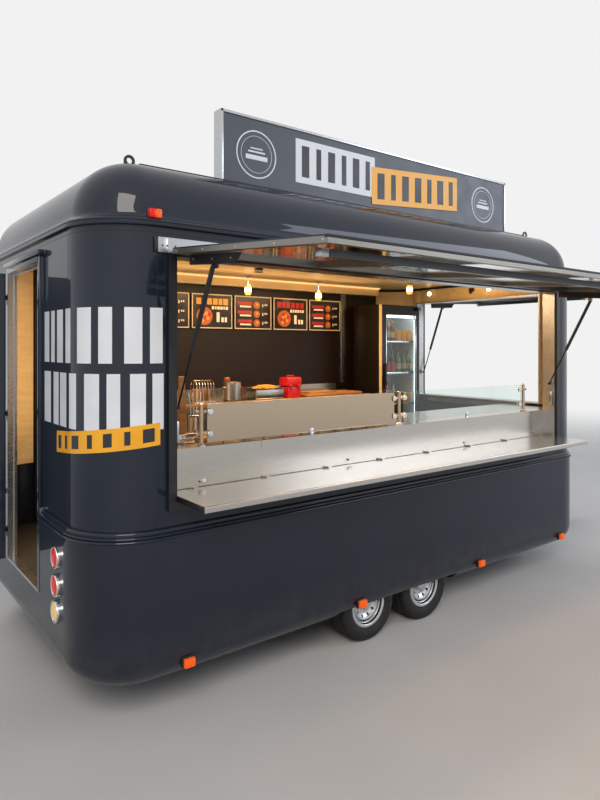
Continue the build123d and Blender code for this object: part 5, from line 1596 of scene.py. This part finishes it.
def add_tail_lamp(rings, lenses, centre):
    """A round tail lamp: a chrome ring with a half-round lip and two screws, and in it a lens
    whose face is a quarter of an ellipse turned about the lamp's line."""
    ring = [(0.0470, 0.0005), (0.0470, 0.014), *arc((0.0520, 0.014), 0.0050, 180, 0, 8), (0.0570, 0.0005)]
    rings.add(turned(ring, centre, TO_REAR, 56, True))
    for turn in np.radians((45, 225)):
        spot = centre + (-0.0188, 0.052 * math.cos(turn), 0.052 * math.sin(turn))
        rings.add(dome(spot, TO_REAR, 0.003, 0.001, 10))
    radius, rim, rise = 0.0466, 0.013, 0.011
    lens = [(0, 0.0005), (radius, 0.0005), (radius, rim)]
    lens += [(radius * math.cos(a), rim + rise * math.sin(a)) for a in np.linspace(0, math.pi / 2, 9)]
    lens[-1] = (0, rim + rise)
    lenses.add(turned(lens, centre, TO_REAR, 56))


def add_side_marker(mounts, lenses, place, side):
    """An amber marker low on a side of the body, on a black mount."""
    back, face, front = side * (HALF - 0.0125), side * (HALF + 0.0058), side * (HALF + 0.0278)
    mounts.box((place - 0.034, back, 0.276), (place + 0.034, face, 0.330), 0.004, 1)
    lenses.box((place - 0.030, face + side * 0.0002, 0.280), (place + 0.030, front, 0.325), 0.006)


def add_roof_marker(mounts, red, amber, side):
    """A marker high on a rear corner, half red and half amber, on a black mount."""
    face = HALF - 0.040
    mounts.box((0.304, side * (face - 0.004), 2.508), (0.376, side * (face + 0.003), 2.560), 0.003, 1)
    red.box((0.308, side * face, 2.512), (0.3398, side * (face + 0.030), 2.556), 0.006)
    amber.box((0.3402, side * face, 2.512), (0.372, side * (face + 0.030), 2.556), 0.006)


def make_outer_lamps():
    """Tail lamps, side markers and roof markers on both sides."""
    rings, red, amber, clear = Shape(), Shape(), Shape(), Shape()
    for side in (-1, 1):
        for height, lenses in ((0.810, red), (0.666, red), (0.534, clear)):
            add_tail_lamp(rings, lenses, body(0, side * TAIL_LAMP_Y, height))
        for place in SIDE_MARKERS:
            add_side_marker(rings, amber, place, side)
        add_roof_marker(rings, red, amber, side)
    build("Lamp_rings", rings, ["chrome", "black_plastic"], replaces=["lamp_mounts"])
    build("Lamps_red", red, ["red_lens"], replaces=["red_lamps"])
    build("Lamps_amber", amber, ["amber_lens"], replaces=["amber_lamps"])
    build("Lamps_clear", clear, ["yellow_lens"])


class TRAILER_OT_lamps(bpy.types.Operator):
    """Tail lamps, side markers and roof markers"""

    bl_idname = "trailer.lamps"
    bl_label = "Lamps"

    def execute(self, context):
        make_outer_lamps()
        return {"FINISHED"}


# Wheels

# The axles' places, a tyre's radius, its outer face's distance from the middle, its width
WHEEL_X = (1.835, 2.365)
WHEEL_RADIUS, TYRE_FACE, TYRE_WIDTH = 0.225, 1.080, 0.195
# Half the tread's width, its grooves' places and half their width, then the sipes: how many
# go round, how many of their pitches they slant in a metre of width, and their depth
TREAD_HALF, GROOVES, GROOVE_HALF = 0.074, (-0.038, 0.0, 0.038), 0.0042
SIPES, SIPE_SLANT, SIPE_DEPTH = 52, 18, 0.005
# A tyre's wall from shoulder to bead, by distance from its middle and radius
TYRE_WALL = np.array([
    (0.080, 0.2185), (0.087, 0.212), (0.0925, 0.203), (0.096, 0.190), (0.0972, 0.176),
    (0.0968, 0.172), (0.0955, 0.1705), (0.0945, 0.164), (0.0915, 0.1555), (0.088, 0.149),
    (0.0845, 0.1450), (0.0815, 0.1425), (0.0785, 0.1412), (0.070, 0.1245),
])


def make_tyre(title, x, side, tread_depth):
    """A tyre: a crowned tread and two walls turned about the axle. Its radius falls by three
    grooves' depth, or where a sawtooth of angle and width is low, by the sipes'."""
    across = np.linspace(-TREAD_HALF, TREAD_HALF, 41)
    crown = WHEEL_RADIUS - 0.004 * (across / TREAD_HALF) ** 2
    section = np.concatenate([TYRE_WALL[::-1] * (-1, 1), np.column_stack([across, crown]), TYRE_WALL])
    off_groove = np.abs(across[:, None] - GROOVES).min(1)
    groove = np.clip(1.35 - off_groove / GROOVE_HALF, 0, 1) * tread_depth
    off_middle = np.abs(section[:, 0])
    shoulder = np.clip((off_middle - 0.044) / 0.004, 0, 1) * (off_middle < 0.0835)
    steps = 6 * SIPES
    angle = np.linspace(0, 2 * math.pi, steps, endpoint=False)[:, None]
    sawtooth = (angle * SIPES / (2 * math.pi) + SIPE_SLANT * off_middle) % 1
    sipe = (sawtooth < 0.2) * shoulder * SIPE_DEPTH
    radius = section[:, 1] - np.maximum(np.pad(groove, len(TYRE_WALL)), sipe)
    place = np.broadcast_to(section[:, 0], radius.shape)
    points = np.stack([radius * np.cos(angle), place, radius * np.sin(angle)], -1)
    points = points + body(x, side * (TYRE_FACE - TYRE_WIDTH / 2), WHEEL_RADIUS)
    shape = Shape().add((points.reshape(-1, 3), [grid_faces(steps, len(section), True, True)]))
    build(f"Tyre_{title}", shape, ["rubber"], f"wheel_{title}", [f"tyre_{title}"])


def make_rim_trim(title, x, side):
    """Bright beads on a rim's flange, barrel, crest and hub, each half an ellipse turned
    about the axle, with a hub cap, five bolts round it and a valve."""
    shape = Shape()
    way = TO_FAR if side > 0 else TO_SERVING
    centre = body(x, side * (TYRE_FACE - TYRE_WIDTH / 2), WHEEL_RADIUS)
    # Radius, distance from the rim's middle, half width and rise
    for radius, depth, half, rise in (
        (0.1305, 0.0802, 0.0100, 0.0045),
        (0.1150, 0.0560, 0.0050, 0.0100),
        (0.0930, 0.0572, 0.0075, 0.0050),
        (0.0620, 0.0395, 0.0050, 0.0050),
    ):
        around = np.linspace(0, math.pi, 9)
        bead = [(radius + half * math.cos(a), depth + rise * math.sin(a)) for a in around]
        bead += [(radius - half, depth - 0.004), (radius + half, depth - 0.004)]
        shape.add(turned(bead, centre, way, 72, True), 0)
    cap = [(0, 0.0602), (0.0325, 0.0602), (0.0335, 0.0640), (0.0300, 0.0685), (0.0180, 0.0712), (0, 0.0720)]
    shape.add(turned(cap, centre, way, 40), 1)
    head = [(0, 0.0), (0.0088, 0.0), (0.0088, 0.0085), (0.0070, 0.0100), (0, 0.0105)]
    for turn in np.linspace(0, 2 * math.pi, 5, endpoint=False):
        spot = centre + (0.0525 * math.cos(turn), side * 0.0360, 0.0525 * math.sin(turn))
        shape.add(turned(head, spot, way, 6), 1)
    valve = centre + (0.1085, side * 0.0440, 0)
    shape.add(rod([valve, valve + (-0.004, side * 0.024, 0)], 0.0042, 12), 2)
    finishes = ["rim", "chrome", "black_plastic"]
    build(f"Rim_trim_{title}", shape, finishes, f"wheel_{title}")


class TRAILER_OT_wheels(bpy.types.Operator):
    """Tyres of the four wheels, with their tread, and the beads, caps and bolts of the rims"""

    bl_idname = "trailer.wheels"
    bl_label = "Wheels"

    def execute(self, context):
        for x, end in zip(WHEEL_X, ("rear", "front")):
            for side, flank in ((-1, "serving"), (1, "far")):
                make_tyre(f"{end}_{flank}", x, side, context.scene.trailer_sizes.tread_depth)
                make_rim_trim(f"{end}_{flank}", x, side)
        return {"FINISHED"}


# Frame and stage

FLOOR_REACH = 60.0
# The camera's lens and sensor in millimetres, its shift as a share of the sensor, its place
# on the body and its turn in degrees
CAMERA_LENS, CAMERA_SENSOR, CAMERA_SHIFT = 28.35, 36, -0.06625
CAMERA_PLACE, CAMERA_TURN = (-0.975, -4.0, 1.88), 37.53


def dress_frame():
    """Gives every node of the frame the finish of its slot."""
    slots = {row["node"]: row["material_slot"] for row in frame["record"]["subparts"]}
    for node, piece in frame["nodes"].items():
        piece.data.materials.clear()
        piece.data.materials.append(finish(FINISH_OF_NODE.get(node, FINISH_OF_SLOT[slots[node]])))


def make_world(settings):
    """A plain pale studio all round. The camera, gloss and glass see it in the backdrop's own
    colour, at a strength of 1."""
    world = bpy.data.worlds.new("Studio")
    bpy.context.scene.world = world
    sky = Nodes(world)
    lit = sky.add("Background", Color=linear("#d3deee"), Strength=settings.studio_light)
    backdrop = sky.add("Background", Color=linear(BACKDROP), Strength=1.0)
    mixed = sky.add("MixShader", Fac=sky.seen(), Shader=lit, Shader_001=backdrop)
    sky.add("OutputWorld", Surface=mixed)


def make_floor():
    """A level studio floor, wide enough to meet the horizon."""
    mesh = bpy.data.meshes.new("Floor")
    reach = FLOOR_REACH
    corners = [(-reach, -reach, 0), (reach, -reach, 0), (reach, reach, 0), (-reach, reach, 0)]
    mesh.from_pydata(corners, [], [(0, 1, 2, 3)])
    ground = bpy.data.objects.new("Floor", mesh)
    bpy.context.scene.collection.objects.link(ground)
    mesh.materials.append(finish("ground"))


def add_lamp(name, place, aim, power, size, colour):
    """A rectangular lamp at place that looks at aim."""
    light = bpy.data.lights.new(name, "AREA")
    light.energy = power
    light.color = linear(colour)[:3]
    light.shape = "RECTANGLE"
    light.size, light.size_y = size
    lamp = bpy.data.objects.new(name, light)
    bpy.context.scene.collection.objects.link(lamp)
    lamp.location = place
    way = np.array(aim, float) - np.array(place, float)
    tilt = math.atan2(math.hypot(way[0], way[1]), -way[2])
    lamp.rotation_euler = (tilt, 0, math.atan2(-way[0], way[1]))
    return lamp


def make_lights(settings):
    """Soft studio lamps outside and the warm lamps of the kitchen."""
    # Name, place and aim in the frame, power in watts, size, colour, shows in gloss
    for name, place, aim, power, size, colour, mirrored in (
        ("Key", (-6.5, -7.5, 7.5), (0, 0, 1.0), 640, (5.0, 5.0), "#fff6ea", True),
        ("Fill", (7.5, -7.0, 5.0), (0.5, 0, 1.2), 300, (6.0, 4.0), "#e8f0ff", True),
        ("Back", (0.0, 9.0, 7.0), (0, 0, 1.5), 420, (7.0, 4.0), "#ffffff", False),
    ):
        lamp = add_lamp(name, place, aim, power * settings.lamp_power, size, colour)
        lamp.visible_glossy = mirrored
    # The same on the body, for lamps that the camera doesn't see
    for name, place, aim, power, size, colour, mirrored in (
        ("Kitchen_1", (1.15, 0.05, 2.50), (1.15, 0.1, 0), 20, (0.5, 0.9), "#ffd6a3", True),
        ("Kitchen_2", (2.0, 0.05, 2.50), (2.0, 0.1, 0), 20, (0.5, 0.9), "#ffd6a3", True),
        ("Kitchen_3", (2.85, 0.05, 2.50), (2.85, 0.1, 0), 20, (0.5, 0.9), "#ffd6a3", True),
        ("Ceiling_wash", (1.9, 0.55, 2.30), (1.9, 0.25, 2.6), 6, (2.9, 0.25), "#ffcf94", False),
        ("Cornice", (2.2, 0.90, 2.43), (2.2, 0.95, 0), 6, (3.0, 0.1), "#ffcf94", False),
        ("Front_head", (3.95, -0.25, 2.12), (4.2, -0.25, 2.6), 5, (0.3, 1.1), "#ffcf94", False),
        ("Shelf_shine", (2.75, -1.30, 2.20), (2.75, -1.22, 0), 7, (1.5, 0.25), "#ffb464", True),
    ):
        lamp = add_lamp(name, body(*place), body(*aim), power * settings.lamp_power, size, colour)
        lamp.visible_glossy = mirrored
        lamp.visible_camera = False


def make_camera():
    """A camera at the photo's place: level, and turned from straight across the trailer
    towards its front."""
    camera = bpy.data.cameras.new("Camera")
    camera.lens, camera.sensor_width = CAMERA_LENS, CAMERA_SENSOR
    camera.shift_y = CAMERA_SHIFT
    camera.clip_end = 3 * FLOOR_REACH
    viewer = bpy.data.objects.new("Camera", camera)
    bpy.context.scene.collection.objects.link(viewer)
    viewer.location = body(*CAMERA_PLACE)
    viewer.rotation_euler = (math.pi / 2, 0, -math.radians(CAMERA_TURN))
    bpy.context.scene.camera = viewer


class TRAILER_OT_frame(bpy.types.Operator):
    """Finishes of the frame's own pieces"""

    bl_idname = "trailer.frame"
    bl_label = "Frame finishes"

    def execute(self, context):
        dress_frame()
        return {"FINISHED"}


class TRAILER_OT_stage(bpy.types.Operator):
    """Floor, world, lamps and the camera"""

    bl_idname = "trailer.stage"
    bl_label = "Stage"

    def execute(self, context):
        context.scene.view_settings.view_transform = "Standard"
        settings = context.scene.trailer_stage
        make_world(settings)
        make_floor()
        make_lights(settings)
        make_camera()
        return {"FINISHED"}


# Settings, panel and registration


def hex_property(name, description, default):
    """A colour kept as an sRGB hex value."""
    return bpy.props.StringProperty(name=name, description=description, default=default)


def length_property(name, description, default):
    """A length in metres, shown in the scene's own unit."""
    return bpy.props.FloatProperty(
        name=name, description=description, default=default, min=0, subtype="DISTANCE", unit="LENGTH"
    )


class TrailerSizes(bpy.types.PropertyGroup):
    tread_depth: length_property("Tread depth", "Depth of the grooves round the tyres", 0.0065)
    plank_width: length_property("Plank width", "Width of each plank of the ceiling", 0.193)
    board_lip: length_property("Board frame", "Width of the menu boards' frames", 0.010)
    sign_ring: length_property("Sign ring", "Outer radius of the rings on the sign", 0.1475)
    band_height: length_property("Band height", "Height of the amber band on the rear corner", 0.110)
    rail_height: length_property("Roof rail height", "Height of the rails along the crown", 0.018)


class TrailerColours(bpy.types.PropertyGroup):
    paint: hex_property("Paint", "The body's enamel in its darker patches", "#121a28")
    paint_light: hex_property("Paint, light", "The body's enamel in its lighter patches", "#182232")
    accent: hex_property("Accent", "The amber panels and bands", "#f5a91c")
    accent_light: hex_property("Accent, light", "The amber in its lighter patches", "#ffb92e")
    film: hex_property("Film", "The white film on the sign and the rear corner", "#dfe3ea")
    film_light: hex_property("Film, light", "The white film in its lighter patches", "#e9ecf1")
    sign: hex_property("Sign", "The face of the roof sign", "#454a54")
    sign_light: hex_property("Sign, light", "The sign's face in its lighter patches", "#4d525d")


class TrailerStage(bpy.types.PropertyGroup):
    studio_light: bpy.props.FloatProperty(
        name="Studio light", description="Strength of the light from all round", default=0.45, min=0
    )
    lamp_power: bpy.props.FloatProperty(
        name="Lamp power", description="Every studio lamp's power is multiplied by this", default=1.0, min=0
    )


OPERATORS = (
    TRAILER_OT_frame,
    TRAILER_OT_shell,
    TRAILER_OT_windows,
    TRAILER_OT_hatches,
    TRAILER_OT_counter,
    TRAILER_OT_kitchen,
    TRAILER_OT_room,
    TRAILER_OT_sign,
    TRAILER_OT_lamps,
    TRAILER_OT_wheels,
    TRAILER_OT_stage,
)


class TRAILER_PT_panel(bpy.types.Panel):
    """The trailer's settings and its pieces, in the order in which they are made"""

    bl_idname = "TRAILER_PT_panel"
    bl_label = "Food trailer"
    bl_space_type = "VIEW_3D"
    bl_region_type = "UI"
    bl_category = "Trailer"

    def draw(self, context):
        scene = context.scene
        for settings in (scene.trailer_sizes, scene.trailer_colours, scene.trailer_stage):
            for name in settings.__annotations__:
                self.layout.prop(settings, name)
        for operator in OPERATORS:
            self.layout.operator(operator.bl_idname)


CLASSES = (TrailerSizes, TrailerColours, TrailerStage, *OPERATORS, TRAILER_PT_panel)


def register():
    for kind in CLASSES:
        bpy.utils.register_class(kind)
    bpy.types.Scene.trailer_sizes = bpy.props.PointerProperty(type=TrailerSizes)
    bpy.types.Scene.trailer_colours = bpy.props.PointerProperty(type=TrailerColours)
    bpy.types.Scene.trailer_stage = bpy.props.PointerProperty(type=TrailerStage)


def unregister():
    del bpy.types.Scene.trailer_stage
    del bpy.types.Scene.trailer_colours
    del bpy.types.Scene.trailer_sizes
    for kind in reversed(CLASSES):
        bpy.utils.unregister_class(kind)


def main():
    register()
    for operator in OPERATORS:
        group, name = operator.bl_idname.split(".")
        getattr(getattr(bpy.ops, group), name)()


if __name__ == "__main__":
    main()
